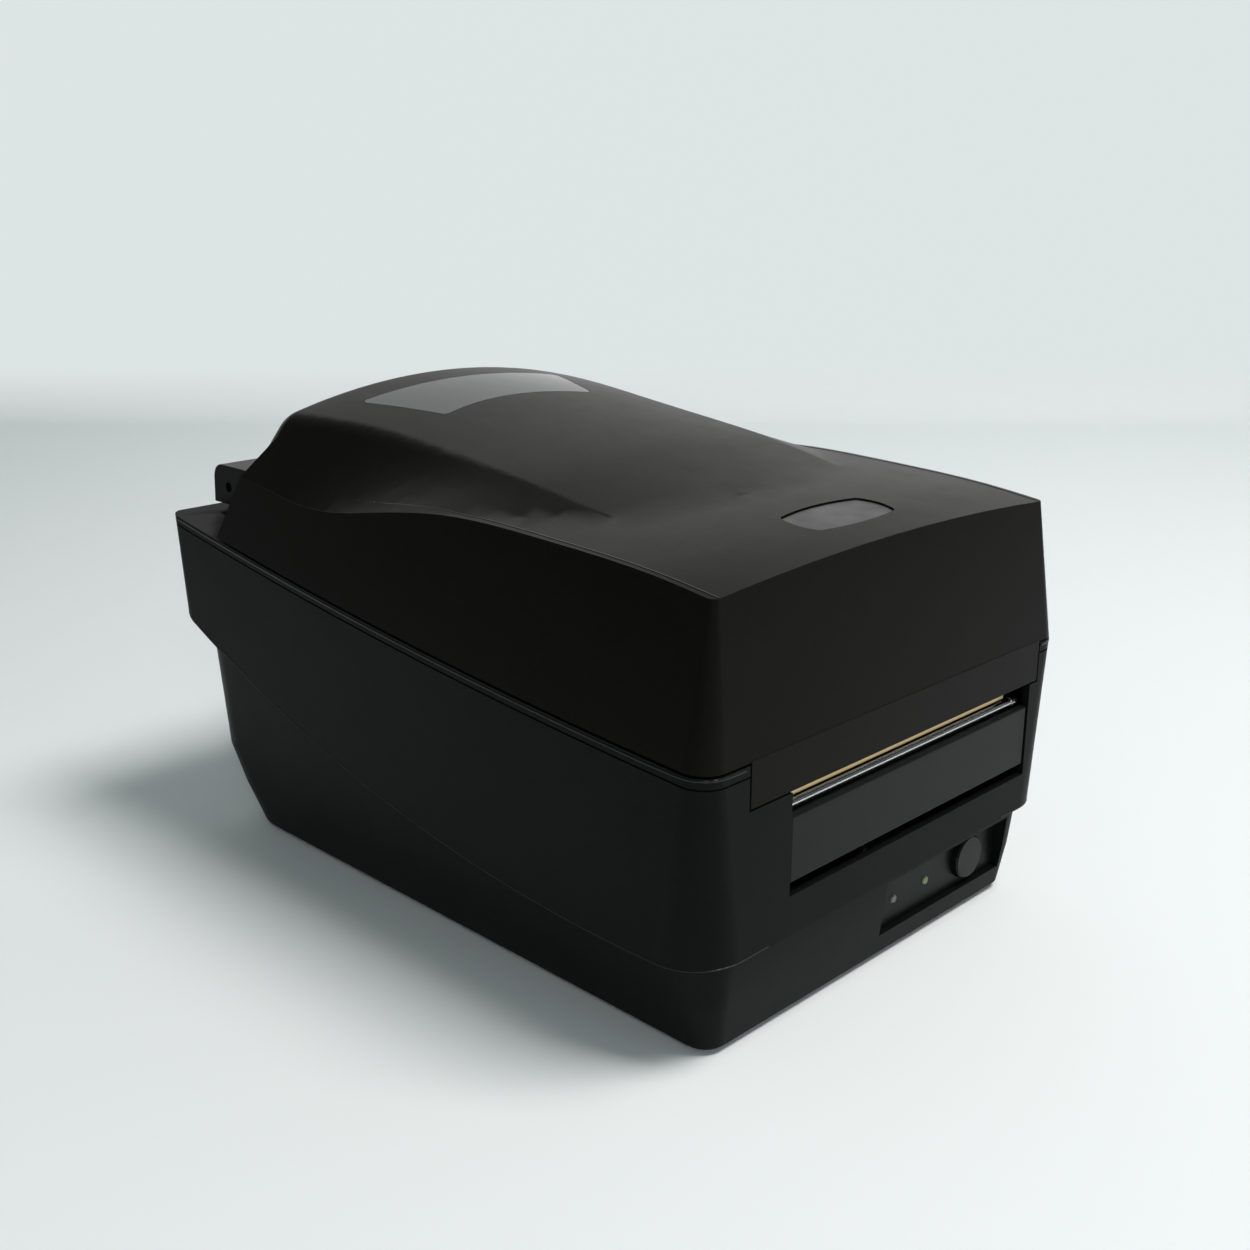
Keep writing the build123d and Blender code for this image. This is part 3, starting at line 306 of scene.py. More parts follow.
RUBBER = Finish("rubber", (0.012, 0.012, 0.012), roughness=0.75, specular=0.3, spread=0.08,
                grain_size=0.4 * MM)
ACETAL = Finish("acetal", (0.74, 0.72, 0.66), roughness=0.42)
MOTOR = Finish("motor_paint", (0.03, 0.03, 0.032), roughness=0.35, coat=0.2)
BOARD = Finish("circuit_board", (0.01, 0.085, 0.035), roughness=0.32, mottle=0.3, coat=0.3)
CERAMIC = Finish("head_ceramic", (0.1, 0.07, 0.05), roughness=0.2, coat=0.4)
ALUMINIUM = Finish("aluminium", (0.6, 0.61, 0.62), metallic=1.0, roughness=0.4,
                   grain=Grain.BRUSHED)
LEVER = Finish("lever_plastic", (0.015, 0.11, 0.06), roughness=0.4)
SPINDLE = Finish("spindle_plastic", (0.025, 0.025, 0.026), roughness=0.45)
SHELL = Finish("connector_shell", (0.55, 0.56, 0.57), metallic=1.0, roughness=0.3)
SOCKET = Finish("socket_plastic", (0.01, 0.01, 0.01), roughness=0.45)


def grid_tree(name: str, material: bpy.types.Material) -> Tree:
    """Geometry Nodes tree that sets a small upright post at every point of a grid.

    Args:
        name: Name of the tree.
        material: Material of the posts.

    Returns:
        The node tree, with its sizes as named inputs.
    """
    tree = bpy.data.node_groups.new(name, "GeometryNodeTree")
    face = tree.interface
    for label, kind in (("Columns", "NodeSocketInt"), ("Rows", "NodeSocketInt"),
                        ("Span", "NodeSocketVector"), ("Block", "NodeSocketVector"),
                        ("Centre", "NodeSocketVector"), ("Turn", "NodeSocketVector"),
                        ("Sides", "NodeSocketInt")):
        face.new_socket(label, in_out="INPUT", socket_type=kind)
    face.new_socket("Geometry", in_out="OUTPUT", socket_type="NodeSocketGeometry")
    node, link = tree.nodes.new, tree.links.new
    inputs, output = node("NodeGroupInput"), node("NodeGroupOutput")
    span = node("ShaderNodeSeparateXYZ")
    link(inputs.outputs["Span"], span.inputs[0])
    grid = node("GeometryNodeMeshGrid")
    link(span.outputs["X"], grid.inputs["Size X"])
    link(span.outputs["Y"], grid.inputs["Size Y"])
    link(inputs.outputs["Columns"], grid.inputs["Vertices X"])
    link(inputs.outputs["Rows"], grid.inputs["Vertices Y"])
    points = node("GeometryNodeMeshToPoints")
    link(grid.outputs["Mesh"], points.inputs["Mesh"])
    post = node("GeometryNodeMeshCylinder")
    post.fill_type = "NGON"
    set_inputs(post, {"Radius": 0.5, "Depth": 1.0})  # 1 wide and high, so Block is its scale
    link(inputs.outputs["Sides"], post.inputs["Vertices"])
    scaled = node("GeometryNodeTransform")
    link(post.outputs["Mesh"], scaled.inputs["Geometry"])
    link(inputs.outputs["Block"], scaled.inputs["Scale"])
    place = node("GeometryNodeInstanceOnPoints")
    link(points.outputs["Points"], place.inputs["Points"])
    link(scaled.outputs["Geometry"], place.inputs["Instance"])
    real = node("GeometryNodeRealizeInstances")
    link(place.outputs["Instances"], real.inputs["Geometry"])
    move = node("GeometryNodeTransform")
    link(real.outputs["Geometry"], move.inputs["Geometry"])
    link(inputs.outputs["Centre"], move.inputs["Translation"])
    link(inputs.outputs["Turn"], move.inputs["Rotation"])
    paint = node("GeometryNodeSetMaterial")
    paint.inputs["Material"].default_value = material
    link(move.outputs["Geometry"], paint.inputs["Geometry"])
    link(paint.outputs["Geometry"], output.inputs["Geometry"])
    return tree


@dataclass(frozen=True)
class Repeat:
    """A grid of equal small pieces, made with Geometry Nodes.

    Attributes:
        name: Name of the resulting piece.
        centre: Middle of the grid, in metres.
        turn: Turn of the whole grid, in radians.
        columns: Pieces along the grid's own X.
        rows: Pieces along the grid's own Y.
        span: Distance between the outer pieces along the grid's own X and Y.
        block: Size of one piece.
        sides: Sides of its round section.
    """

    name: str
    centre: Triple
    turn: Triple
    columns: int
    rows: int
    span: tuple[float, float]
    block: Triple
    sides: int = 12


@dataclass
class Wardrobe:
    """Dresses CAD nodes and adds fine pieces, each on its body and in its material slot.

    Attributes:
        materials: Materials that are built already, by finish name.
    """

    frame: dict
    materials: dict[str, bpy.types.Material] = field(default_factory=dict)

    def material(self, finish: Finish) -> bpy.types.Material:
        """Material of a finish, built once.

        Args:
            finish: The finish to look up.

        Returns:
            The Blender material.
        """
        if finish.name not in self.materials:
            self.materials[finish.name] = finish.build()
        return self.materials[finish.name]

    def body_of(self, node: str) -> str:
        """Body that a node rides on.

        Args:
            node: Name of the CAD node.

        Returns:
            The body's name.
        """
        bodies = self.frame["record"]["behaviour"]["bodies"]
        return next(body for body, nodes in bodies.items() if node in nodes)

    def add(self, name: str, mesh: bpy.types.Mesh, finish: Finish,
            like: str) -> bpy.types.Object:
        """Put a finished mesh in the scene as a piece that rides on a node's body.

        Args:
            name: Name of the piece.
            mesh: Its mesh, in place.
            finish: Its finish.
            like: CAD node whose body it shares.

        Returns:
            The new object.
        """
        piece = bpy.data.objects.new(name, mesh)
        bpy.context.scene.collection.objects.link(piece)
        mesh.materials.clear()
        mesh.materials.append(self.material(finish))
        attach(piece, self.body_of(like))
        return piece

    def soften(self, piece: bpy.types.Object, edge: float, segments: int = 2) -> None:
        """Round a piece's hard edges and smooth its shading.

        Args:
            piece: The piece to finish.
            edge: Width of the rounded edges, in metres.
            segments: Segments across each rounded edge.
        """
        piece.data.shade_smooth()
        piece.data.set_sharp_from_angle(angle=SHARP_ANGLE)
        if edge:
            bevel = piece.modifiers.new("edge", "BEVEL")
            bevel.width = edge
            bevel.segments = segments
            bevel.limit_method = "ANGLE"
            bevel.angle_limit = BEVEL_ANGLE
            bevel.use_clamp_overlap = True
        weighted = piece.modifiers.new("normals", "WEIGHTED_NORMAL")
        weighted.mode = "FACE_AREA_WITH_ANGLE"
        weighted.keep_sharp = True

    def merged_mesh(self, node: str, whole: bool) -> bpy.types.Mesh:
        """Copy of a node's mesh with shared corners.

        Args:
            node: Name of the CAD node.
            whole: Whether flat faces are made whole, which clean bevels need.

        Returns:
            A new mesh.
        """
        mesh = self.frame["nodes"][node].data.copy()
        build = bmesh.new()
        build.from_mesh(mesh)
        bmesh.ops.remove_doubles(build, verts=build.verts, dist=MERGE_DISTANCE)
        if whole:
            bmesh.ops.dissolve_limit(build, angle_limit=FLAT_ANGLE, verts=build.verts,
                                     edges=build.edges)
        build.to_mesh(mesh)
        build.free()
        return mesh

    def dress(self, node: str, finish: Finish, edge: float,
              segments: int = 2) -> bpy.types.Object:
        """Put the finished copy of one node in its place.

        Args:
            node: Name of the CAD node.
            finish: Its finish.
            edge: Width of its rounded edges, in metres.
            segments: Segments across each rounded edge.

        Returns:
            The new object.
        """
        piece = self.add(f"{node}_skin", self.merged_mesh(node, edge > 0), finish, node)
        self.soften(piece, edge, segments)
        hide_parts(node)
        log.info("dressed %s in %s", node, finish.name)
        return piece

    def repeat(self, rows: Repeat, finish: Finish, like: str) -> None:
        """Make a grid of equal small pieces and put it in place as one plain mesh.

        Args:
            rows: Sizes and place of the grid.
            finish: Finish of the pieces.
            like: CAD node whose body it shares.
        """
        tree = grid_tree(f"{rows.name}_tree", self.material(finish))
        base = bpy.data.objects.new(f"{rows.name}_base", bpy.data.meshes.new(rows.name))
        bpy.context.scene.collection.objects.link(base)
        modifier = base.modifiers.new("grid", "NODES")
        modifier.node_group = tree
        sizes = {"Columns": rows.columns, "Rows": rows.rows, "Span": (*rows.span, 0.0),
                 "Block": rows.block, "Centre": rows.centre, "Turn": rows.turn,
                 "Sides": rows.sides}
        for item in tree.interface.items_tree:
            if item.name in sizes:
                modifier[item.identifier] = sizes[item.name]
        base.update_tag()
        graph = bpy.context.evaluated_depsgraph_get()
        mesh = bpy.data.meshes.new_from_object(base.evaluated_get(graph))
        base.modifiers.clear()
        bpy.data.objects.remove(base)
        mesh.name = rows.name
        self.add(rows.name, mesh, finish, like)
        mesh.shade_smooth()
        mesh.set_sharp_from_angle(angle=SHARP_ANGLE)
        log.info("made %d pieces of %s", rows.columns * rows.rows, rows.name)

    def middle(self, node: str) -> Vector:
        """Middle of a node's box at rest.

        Args:
            node: Name of the CAD node.

        Returns:
            The middle, in metres.
        """
        low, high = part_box(node)
        return (Vector(low) + Vector(high)) / 2


@dataclass(frozen=True)
class Arc:
    """Shallow arc in the side view, through three heights along the printer.

    Attributes:
        front: Height at the front end.
        middle: Height half-way.
        rear: Height at the rear end.
        half_length: Half the distance between the ends.
    """

    front: float
    middle: float
    rear: float
    half_length: float = 140 * MM

    def height(self, y: float) -> float:
        """Height of the arc, taken as a parabola.

        Args:
            y: Place along the printer.

        Returns:
            The height there.
        """
        t = y / self.half_length
        bow = (self.front + self.rear) / 2 - self.middle
        return self.middle + (self.rear - self.front) / 2 * t + bow * t * t


@dataclass(frozen=True)
class Lip:
    """Rounded lip along one edge of the cabinet.

    Attributes:
        line: The edge in the side view.
        radius: Radius of the lip.
        sunk: Share of the radius that its centre lies inside the surface.
    """

    line: Arc
    radius: float
    sunk: float


@dataclass
class Bead:
    """Rounded lip that follows an edge of one moulded shell.

    Attributes:
        wardrobe: Where finishes and CAD nodes come from.
        node: CAD node that the lip belongs to.
        radius: Radius of the lip.
        sides: Sides of its round section.
        surface: The node's surface, in its own coordinates.
        forward: From those coordinates to the frame's.
        inverse: From the frame's coordinates to the node's.
    """

    wardrobe: Wardrobe
    node: str
    radius: float
    sides: int = 10
    surface: BVHTree = field(init=False)
    forward: Matrix = field(init=False)
    inverse: Matrix = field(init=False)

    def __post_init__(self) -> None:
        """Prepare the node's surface for finding places on it."""
        piece = self.wardrobe.frame["nodes"][self.node]
        build = bmesh.new()
        build.from_mesh(piece.data)
        self.surface = BVHTree.FromBMesh(build)
        build.free()
        self.forward = piece.matrix_world
        self.inverse = piece.matrix_world.inverted()

    def hit(self, start: Vector, ahead: Vector) -> Vector | None:
        """Place where a ray meets the node.

        Args:
            start: Start of the ray.
            ahead: Its direction.

        Returns:
            The place, or None if the ray misses.
        """
        turned = self.inverse.to_3x3() @ ahead
        place = self.surface.ray_cast(self.inverse @ start, turned)[0]
        return None if place is None else self.forward @ place

    def hit_from(self, side: Side, y: float, z: float) -> Vector | None:
        """Place where a level ray from one side meets the node.

        Args:
            side: Side that the ray comes from.
            y: Place along the printer.
            z: Height.

        Returns:
            The place, or None if the ray misses.
        """
        return self.hit(Vector((side.value * OUTSIDE, y, z)), Vector((-side.value, 0.0, 0.0)))

    def sweep(self, name: str, path: list[Vector]) -> None:
        """Make the lip along a path and put it in place.

        Args:
            name: Name of the piece.
            path: Points of its centre line.
        """
        build = bmesh.new()
        rings = []
        for i, point in enumerate(path):
            along = (path[min(i + 1, len(path) - 1)] - path[max(i - 1, 0)]).normalized()
            across = along.cross(UP).normalized()
            up = across.cross(along)
            ring = []
            for k in range(self.sides):
                a = 2 * math.pi * k / self.sides
                out = across * math.cos(a) + up * math.sin(a)
                ring.append(build.verts.new(point + out * self.radius))
            rings.append(ring)
        for low, high in zip(rings, rings[1:]):
            for k in range(self.sides):
                m = (k + 1) % self.sides
                build.faces.new((low[k], low[m], high[m], high[k]))
        build.faces.new(rings[0])
        build.faces.new(tuple(reversed(rings[-1])))
        bmesh.ops.recalc_face_normals(build, faces=build.faces)
        mesh = bpy.data.meshes.new(name)
        build.to_mesh(mesh)
        build.free()
        piece = self.wardrobe.add(name, mesh, EDGE, self.node)
        self.wardrobe.soften(piece, 0.0)
        log.info("traced %s over %d points", name, len(path))


@dataclass
class Assembly:
    """One sub-assembly of the printer.

    Attributes:
        wardrobe: Where finishes and CAD nodes come from.
    """

    wardrobe: Wardrobe

    def dress(self, finish: Finish, edge: float, *nodes: str) -> None:
        """Dress nodes alike.

        Args:
            finish: Their finish.
            edge: Width of their rounded edges.
            nodes: Names of the CAD nodes.
        """
        for node in nodes:
            self.wardrobe.dress(node, finish, edge)


@dataclass
class Cover(Assembly):
    """Hinged top cover with its smoked window and bare badge plate.

    Attributes:
        crease: Rounding of the cover's edges.
        window_edge: Rounding of the window's edges.
        badge_edge: Rounding of the badge plate's edges.
        lip: Radius of the lip along the side creases.
        lip_from: Front end of that lip.
        lip_to: Its rear end.
        lip_steps: Steps along it.
        lip_low: Height that is surely below the crease.
        lip_high: Height that is surely above it.
        halvings: How often that span is halved to find the crease.
        side_inside: Half-width that the cover's sides stay outside.
        sunk_in: Share of the radius that the lip's centre lies inside the side.
        sunk_down: Share of the radius that it lies below the crease.
    """

    crease: float = 0.8 * MM
    window_edge: float = 0.3 * MM
    badge_edge: float = 0.35 * MM
    lip: float = 0.55 * MM
    lip_from: float = -134 * MM
    lip_to: float = 70 * MM
    lip_steps: int = 90
    lip_low: float = 110 * MM
    lip_high: float = 178 * MM
    halvings: int = 18
    side_inside: float = 84 * MM
    sunk_in: float = 0.8
    sunk_down: float = 0.6

    def crease_at(self, bead: Bead, side: Side, y: float) -> Vector | None:
        """Place where the cover's side meets its top.

        Args:
            bead: The lip, which finds places on the cover.
            side: Side of the cover.
            y: Place along the printer.

        Returns:
            The highest place found on the side, or None if there is none.
        """
        low, high, place = self.lip_low, self.lip_high, None
        for _ in range(self.halvings):
            z = (low + high) / 2
            found = bead.hit_from(side, y, z)
            if found is not None and abs(found.x) > self.side_inside:
                low, place = z, found
            else:
                high = z
        return place

    def crease_lip(self, side: Side) -> None:
        """Make the round lip where the cover's side meets its top.

        Args:
            side: Side of the cover.
        """
        bead = Bead(self.wardrobe, "lid", self.lip)
        sunk = Vector((-side.value * self.sunk_in, 0.0, -self.sunk_down)) * self.lip
        path = []
        for i in range(self.lip_steps + 1):
            y = self.lip_from + (self.lip_to - self.lip_from) * i / self.lip_steps
            place = self.crease_at(bead, side, y)
            if place is not None:
                path.append(place + sunk)
        bead.sweep(f"crease_{side.name.lower()}", path)

    def build(self) -> None:
        """Dress the cover and round its side creases."""
        self.wardrobe.dress("lid", HOUSING, self.crease, MOULD_SEGMENTS)
        for side in Side:
            self.crease_lip(side)
        self.dress(WINDOW, self.window_edge, "lid_window")
        self.dress(BADGE, self.badge_edge, "badge_plate")


@dataclass
class Housing(Assembly):
    """Cabinet, base tray, hinge pins, screws and feet.

    Attributes:
        rim: Rounding of the cabinet's edges.
        tray_edge: Rounding of the tray's edges.
        pin_edge: Rounding of the hinge pins' ends.
        screw_edge: Rounding of the screws' edges.
        foot_edge: Rounding of the feet.
        rim_lip: Lip along the cabinet's upper edge.
        skirt_lip: Lip along its parting line with the tray.
        corner: Middle of the front corners' rounding, as half-width and place along Y.
        corner_radius: Radius of the front corners.
        corner_turn: Turn of the lips round them, in degrees.
        corner_steps: Steps of that turn.
        corner_ray: Distance from the corner's middle that is surely outside the cabinet.
        corner_reach: Least distance from there to the cabinet's corner.
        side_reach: Least distance across from there to the cabinet's side.
        side_steps: Steps of the lips along the side.
        rear_end: Rear end of the lips.
    """

    rim: float = 0.9 * MM
    tray_edge: float = 0.5 * MM
    pin_edge: float = 0.15 * MM
    screw_edge: float = 0.1 * MM
    foot_edge: float = 0.2 * MM
    rim_lip: Lip = Lip(Arc(95.1 * MM, 106.3 * MM, 125.9 * MM), 0.6 * MM, 0.6)
    skirt_lip: Lip = Lip(Arc(35.0 * MM, 44.1 * MM, 89.7 * MM), 0.3 * MM, 0.5)
    corner: tuple[float, float] = (62 * MM, -102 * MM)
    corner_radius: float = 36 * MM
    corner_turn: float = 86.0
    corner_steps: int = 24
    corner_ray: float = 100 * MM
    corner_reach: float = 24 * MM
    side_reach: float = 16.8 * MM
    side_steps: int = 80
    rear_end: float = 134 * MM

    def trace(self, name: str, side: Side, lip: Lip) -> None:
        """Make a lip round the cabinet's front corner and along its side.

        Args:
            name: Name of the piece.
            side: Side of the cabinet.
            lip: Line and size of the lip.
        """
        bead = Bead(self.wardrobe, "cabinet", lip.radius)
        half, front = self.corner
        middle = Vector((side.value * half, front, 0.0))
        path = []
        for i in range(self.corner_steps + 1):
            a = math.radians(self.corner_turn - self.corner_turn * i / self.corner_steps)
            out = Vector((side.value * math.cos(a), -math.sin(a), 0.0))
            z = lip.line.height(front - self.corner_radius * math.sin(a))
            found = bead.hit(middle + out * self.corner_ray + UP * z, -out)
            if found is not None and (found - middle).dot(out) > self.corner_reach:
                path.append(found - out * lip.radius * lip.sunk)
        aside = Vector((side.value, 0.0, 0.0))
        for i in range(1, self.side_steps + 1):
            y = front + (self.rear_end - front) * i / self.side_steps
            found = bead.hit_from(side, y, lip.line.height(y))
            if found is not None and found.x * side.value > half + self.side_reach:
                path.append(found - aside * lip.radius * lip.sunk)
        bead.sweep(name, path)

    def build(self) -> None:
        """Dress the housing and add the lips of its rim and skirt."""
        self.wardrobe.dress("cabinet", SKIRT, self.rim, MOULD_SEGMENTS)
        self.wardrobe.dress("base_tray", TRAY, self.tray_edge, MOULD_SEGMENTS)
        for side in Side:
            self.trace(f"rim_lip_{side.name.lower()}", side, self.rim_lip)
            self.trace(f"skirt_lip_{side.name.lower()}", side, self.skirt_lip)
        self.dress(BRIGHT, self.pin_edge, "hinge_pins")
        self.dress(SHEET_STEEL, self.screw_edge, "tray_screws")
        self.dress(RUBBER, self.foot_edge, "foot_front_left", "foot_front_right",
                   "foot_rear_left", "foot_rear_right")


@dataclass
class ControlPanel(Assembly):
    """Recessed panel with two lamps and the feed button on its spring.

    Attributes:
        travel: How far the button goes in; not used.
        film_edge: Rounding of the panel film's edges.
        button_edge: Rounding of the button's rim.
        lamp_edge: Rounding of the lamps.
        board_edge: Rounding of the board's edges.
    """

    travel: float = 1.2 * MM
    film_edge: float = 0.15 * MM
    button_edge: float = 0.5 * MM
    lamp_edge: float = 0.3 * MM
    board_edge: float = 0.1 * MM

    def build(self) -> None:
        """Dress the panel and its parts, giving the button's spring a mesh of its own."""
        self.dress(FILM, self.film_edge, "control_panel")
        self.wardrobe.dress("feed_button", BUTTON, self.button_edge, MOULD_SEGMENTS)
        spring = self.wardrobe.dress("button_spring", BRIGHT, 0.0)
        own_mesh(spring)
        self.dress(CLEAR_LAMP, self.lamp_edge, "lamp_left")
        self.dress(GREEN_LAMP, self.lamp_edge, "lamp_right")
        self.dress(BOARD, self.board_edge, "control_board")


@dataclass
class LabelExit(Assembly):
    """Bars, strip and plate of the label exit, with the tear bar's folded lip.

    Attributes:
        plate_edge: Rounding of the front plate's edges.
        bar_edge: Rounding of the bars' edges and of the lip's.
        strip_edge: Rounding of the guide strip's edges.
        lip_gap: Gap between the tear bar and its lip.
        lip_drop: How far the lip hangs below the bar.
        lip_end: How far it stops short of the bar's ends.
        lip_section: Corners of the lip's section, as reach in front of the bar and height.
    """

    plate_edge: float = 0.35 * MM
    bar_edge: float = 0.15 * MM
    strip_edge: float = 0.12 * MM
    lip_gap: float = 0.05 * MM
    lip_drop: float = 0.8 * MM
    lip_end: float = 1 * MM
    lip_section: tuple[tuple[float, float], ...] = (
        (0.0, 0.0), (1.5 * MM, 0.3 * MM), (1.7 * MM, 0.8 * MM), (1.3 * MM, 1.3 * MM),
        (0.0, 1.7 * MM))

    def lip(self) -> None:
        """Make the tear lip: a folded bright edge along the tear bar."""
        low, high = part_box("tear_bar")
        front, under = low[1] - self.lip_gap, low[2] - self.lip_drop
        build = bmesh.new()
        ends = []
        for x in (low[0] + self.lip_end, high[0] - self.lip_end):
            ends.append([build.verts.new((x, front - reach, under + height))
                         for reach, height in self.lip_section])
        build.faces.new(ends[0])
        build.faces.new(tuple(reversed(ends[1])))
        corners = len(self.lip_section)
        for i in range(corners):
            j = (i + 1) % corners
            build.faces.new((ends[0][j], ends[0][i], ends[1][i], ends[1][j]))
        bmesh.ops.recalc_face_normals(build, faces=build.faces)
        mesh = bpy.data.meshes.new("tear_lip")
        build.to_mesh(mesh)
        build.free()
        piece = self.wardrobe.add("tear_lip", mesh, BRIGHT, "tear_bar")
        self.wardrobe.soften(piece, self.bar_edge)
        log.info("folded tear_lip")

    def build(self) -> None:
        """Dress the exit and add the lip."""
        self.dress(PLATE, self.plate_edge, "front_plate")
        self.dress(BRIGHT, self.bar_edge, "lower_bar")
        self.dress(BRASS, self.strip_edge, "guide_strip")
        self.dress(BRIGHT, self.bar_edge, "tear_bar")
        self.lip()


@dataclass
class Chassis(Assembly):
    """Steel side plates and bracket that carry the print mechanism.

    Attributes:
        sheet_edge: Rounding of the sheets' and screws' edges.
    """

    sheet_edge: float = 0.2 * MM

    def build(self) -> None:
        """Dress the chassis."""
        self.dress(SHEET_STEEL, self.sheet_edge, "chassis_left", "chassis_right",
                   "cross_bracket", "chassis_screws")


@dataclass
class PaperDrive(Assembly):
    """Platen roller, gears and stepping motor.

    Attributes:
        roller_edge: Rounding of the roller's ends.
        shaft_edge: Rounding of the shafts' ends.
        gear_edge: Rounding of the bushes' and plastic gears' edges.
        pinion_edge: Rounding of the pinion's teeth.
        motor_edge: Rounding of the motor's edges.
    """

    roller_edge: float = 0.3 * MM
    shaft_edge: float = 0.2 * MM
    gear_edge: float = 0.12 * MM
    pinion_edge: float = 0.1 * MM
    motor_edge: float = 0.4 * MM

    def build(self) -> None:
        """Dress the drive."""
        self.dress(RUBBER, self.roller_edge, "platen_roller")
        self.dress(BRIGHT, self.shaft_edge, "platen_shaft", "idler_pin", "motor_shaft")
        self.dress(ACETAL, self.gear_edge, "platen_bushes", "platen_gear", "idler_gear")
        self.dress(BRASS, self.pinion_edge, "motor_pinion")
        self.dress(MOTOR, self.motor_edge, "drive_motor")


@dataclass
class PrintModule(Assembly):
    """Lifting module with the print head, its heat sink and the ribbon spindles.

    Attributes:
        float_travel: How far the print head lifts against its springs; not used.
        frame_edge: Rounding of the module's frame.
        metal_edge: Rounding of the pivot shaft and the heat sink.
        head_edge: Rounding of the print head.
        lever_edge: Rounding of the release lever.
        spindle_edge: Rounding of the ribbon spindles.
    """

    float_travel: float = 1.2 * MM
    frame_edge: float = 0.35 * MM
    metal_edge: float = 0.2 * MM
    head_edge: float = 0.15 * MM
    lever_edge: float = 0.4 * MM
    spindle_edge: float = 0.25 * MM

    def build(self) -> None:
        """Dress the module, giving the head springs meshes of their own."""
        self.dress(INNER, self.frame_edge, "module_frame")
        self.dress(BRIGHT, self.metal_edge, "module_shaft")
        self.dress(CERAMIC, self.head_edge, "print_head")
        self.dress(ALUMINIUM, self.metal_edge, "head_sink")
        for node in ("head_spring_left", "head_spring_right"):
            spring = self.wardrobe.dress(node, BRIGHT, 0.0)
            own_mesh(spring)
        self.dress(LEVER, self.lever_edge, "release_lever")
        self.dress(SPINDLE, self.spindle_edge, "takeup_spindle", "supply_spindle")


@dataclass
class MediaBay(Assembly):
    """Liner of the roll bay with its spindle, hubs, guides and gap sensor.

    Attributes:
        spindle_edge: Rounding of the label spindle and its hubs.
        guide_edge: Rounding of the label guides and the sensor.
    """

    spindle_edge: float = 0.3 * MM
    guide_edge: float = 0.25 * MM

    def build(self) -> None:
        """Dress the bay."""
        self.dress(INNER, 0.0, "media_liner")
        self.dress(SPINDLE, self.spindle_edge, "media_spindle", "media_hub_left",
                   "media_hub_right")
        self.dress(LEVER, self.guide_edge, "media_guide_left", "media_guide_right")
        self.dress(SOCKET, self.guide_edge, "media_sensor")


@dataclass
class Electronics(Assembly):
    """Boards and the rear row of sockets with their contact pins.

    Attributes:
        board_edge: Rounding of the boards' edges.
        shell_edge: Rounding of the sockets' shells.
        switch_edge: Rounding of the power jack and the switch.
        pin_pitch: Distance between neighbouring pins of a row.
        pin_rows: Rows of pins in each socket.
        row_pitch: Distance between the rows.
        pin_width: Width of a pin.
        pin_length: Length of a pin.
        pin_sunk: How far a pin's middle lies inside the socket's face.
        pin_counts: Pins in one row of each socket, by the socket's node.
    """

    board_edge: float = 0.1 * MM
    shell_edge: float = 0.25 * MM
    switch_edge: float = 0.3 * MM
    pin_pitch: float = 2.2 * MM
    pin_rows: int = 2
    row_pitch: float = 1.8 * MM
    pin_width: float = 0.6 * MM
    pin_length: float = 1.6 * MM
    pin_sunk: float = 1.4 * MM
    pin_counts: tuple[tuple[str, int], ...] = (
        ("parallel_port", 18), ("serial_port", 9), ("usb_port", 2))

    def pins(self, node: str, columns: int) -> None:
        """Set the contact pins in one socket.

        Args:
            node: CAD node of the socket.
            columns: Pins in one row.
        """
        _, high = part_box(node)
        middle = self.wardrobe.middle(node)
        self.wardrobe.repeat(
            Repeat(
                name=f"{node}_pins",
                centre=(middle[0], high[1] - self.pin_sunk, middle[2]),
                turn=(math.pi / 2, 0.0, 0.0),
                columns=columns,
                rows=self.pin_rows,
                span=((columns - 1) * self.pin_pitch, (self.pin_rows - 1) * self.row_pitch),
                block=(self.pin_width, self.pin_width, self.pin_length),
            ),
            GOLD, node)

    def build(self) -> None:
        """Dress the boards and sockets and add the pins."""
        self.dress(BOARD, self.board_edge, "main_board", "port_board")
        self.dress(SHELL, self.shell_edge, "usb_port", "serial_port", "parallel_port")
        self.dress(SOCKET, self.switch_edge, "power_jack", "switch_frame")
        self.dress(BUTTON, self.switch_edge, "switch_rocker")
        for node, columns in self.pin_counts:
            self.pins(node, columns)


@dataclass(frozen=True)
class AreaLight:
    """Square area light.

    Attributes:
        name: Its name.
        place: Its position.
        size: Side of the square.
        power: Power in watts.
        colour: Linear colour.
    """

    name: str
    place: Triple
    size: float
    power: float
    colour: Triple


@dataclass(frozen=True)
class Surroundings:
    """What rays meet outside the stage.

    Attributes:
        tint: Linear colour.
        strength: Brightness.
    """

    tint: Tint
    strength: float


LIGHTS = (
    AreaLight("window_light", (0.35, -0.7, 1.6), 0.65, 23.5, (1.0, 0.99, 0.98)),
    AreaLight("front_fill", (0.3, -1.5, 0.6), 0.8, 0.8, (0.88, 0.97, 1.0)),
    AreaLight("edge_light", (-0.72, -0.95, 0.62), 0.22, 2.2, (0.96, 0.99, 1.0)),
)
WHITE = (1.0, 1.0, 1.0, 1.0)
MIX_A, MIX_B, MIX_RESULT = 6, 7, 2  # colour sockets of a Mix node, whose names are not unique


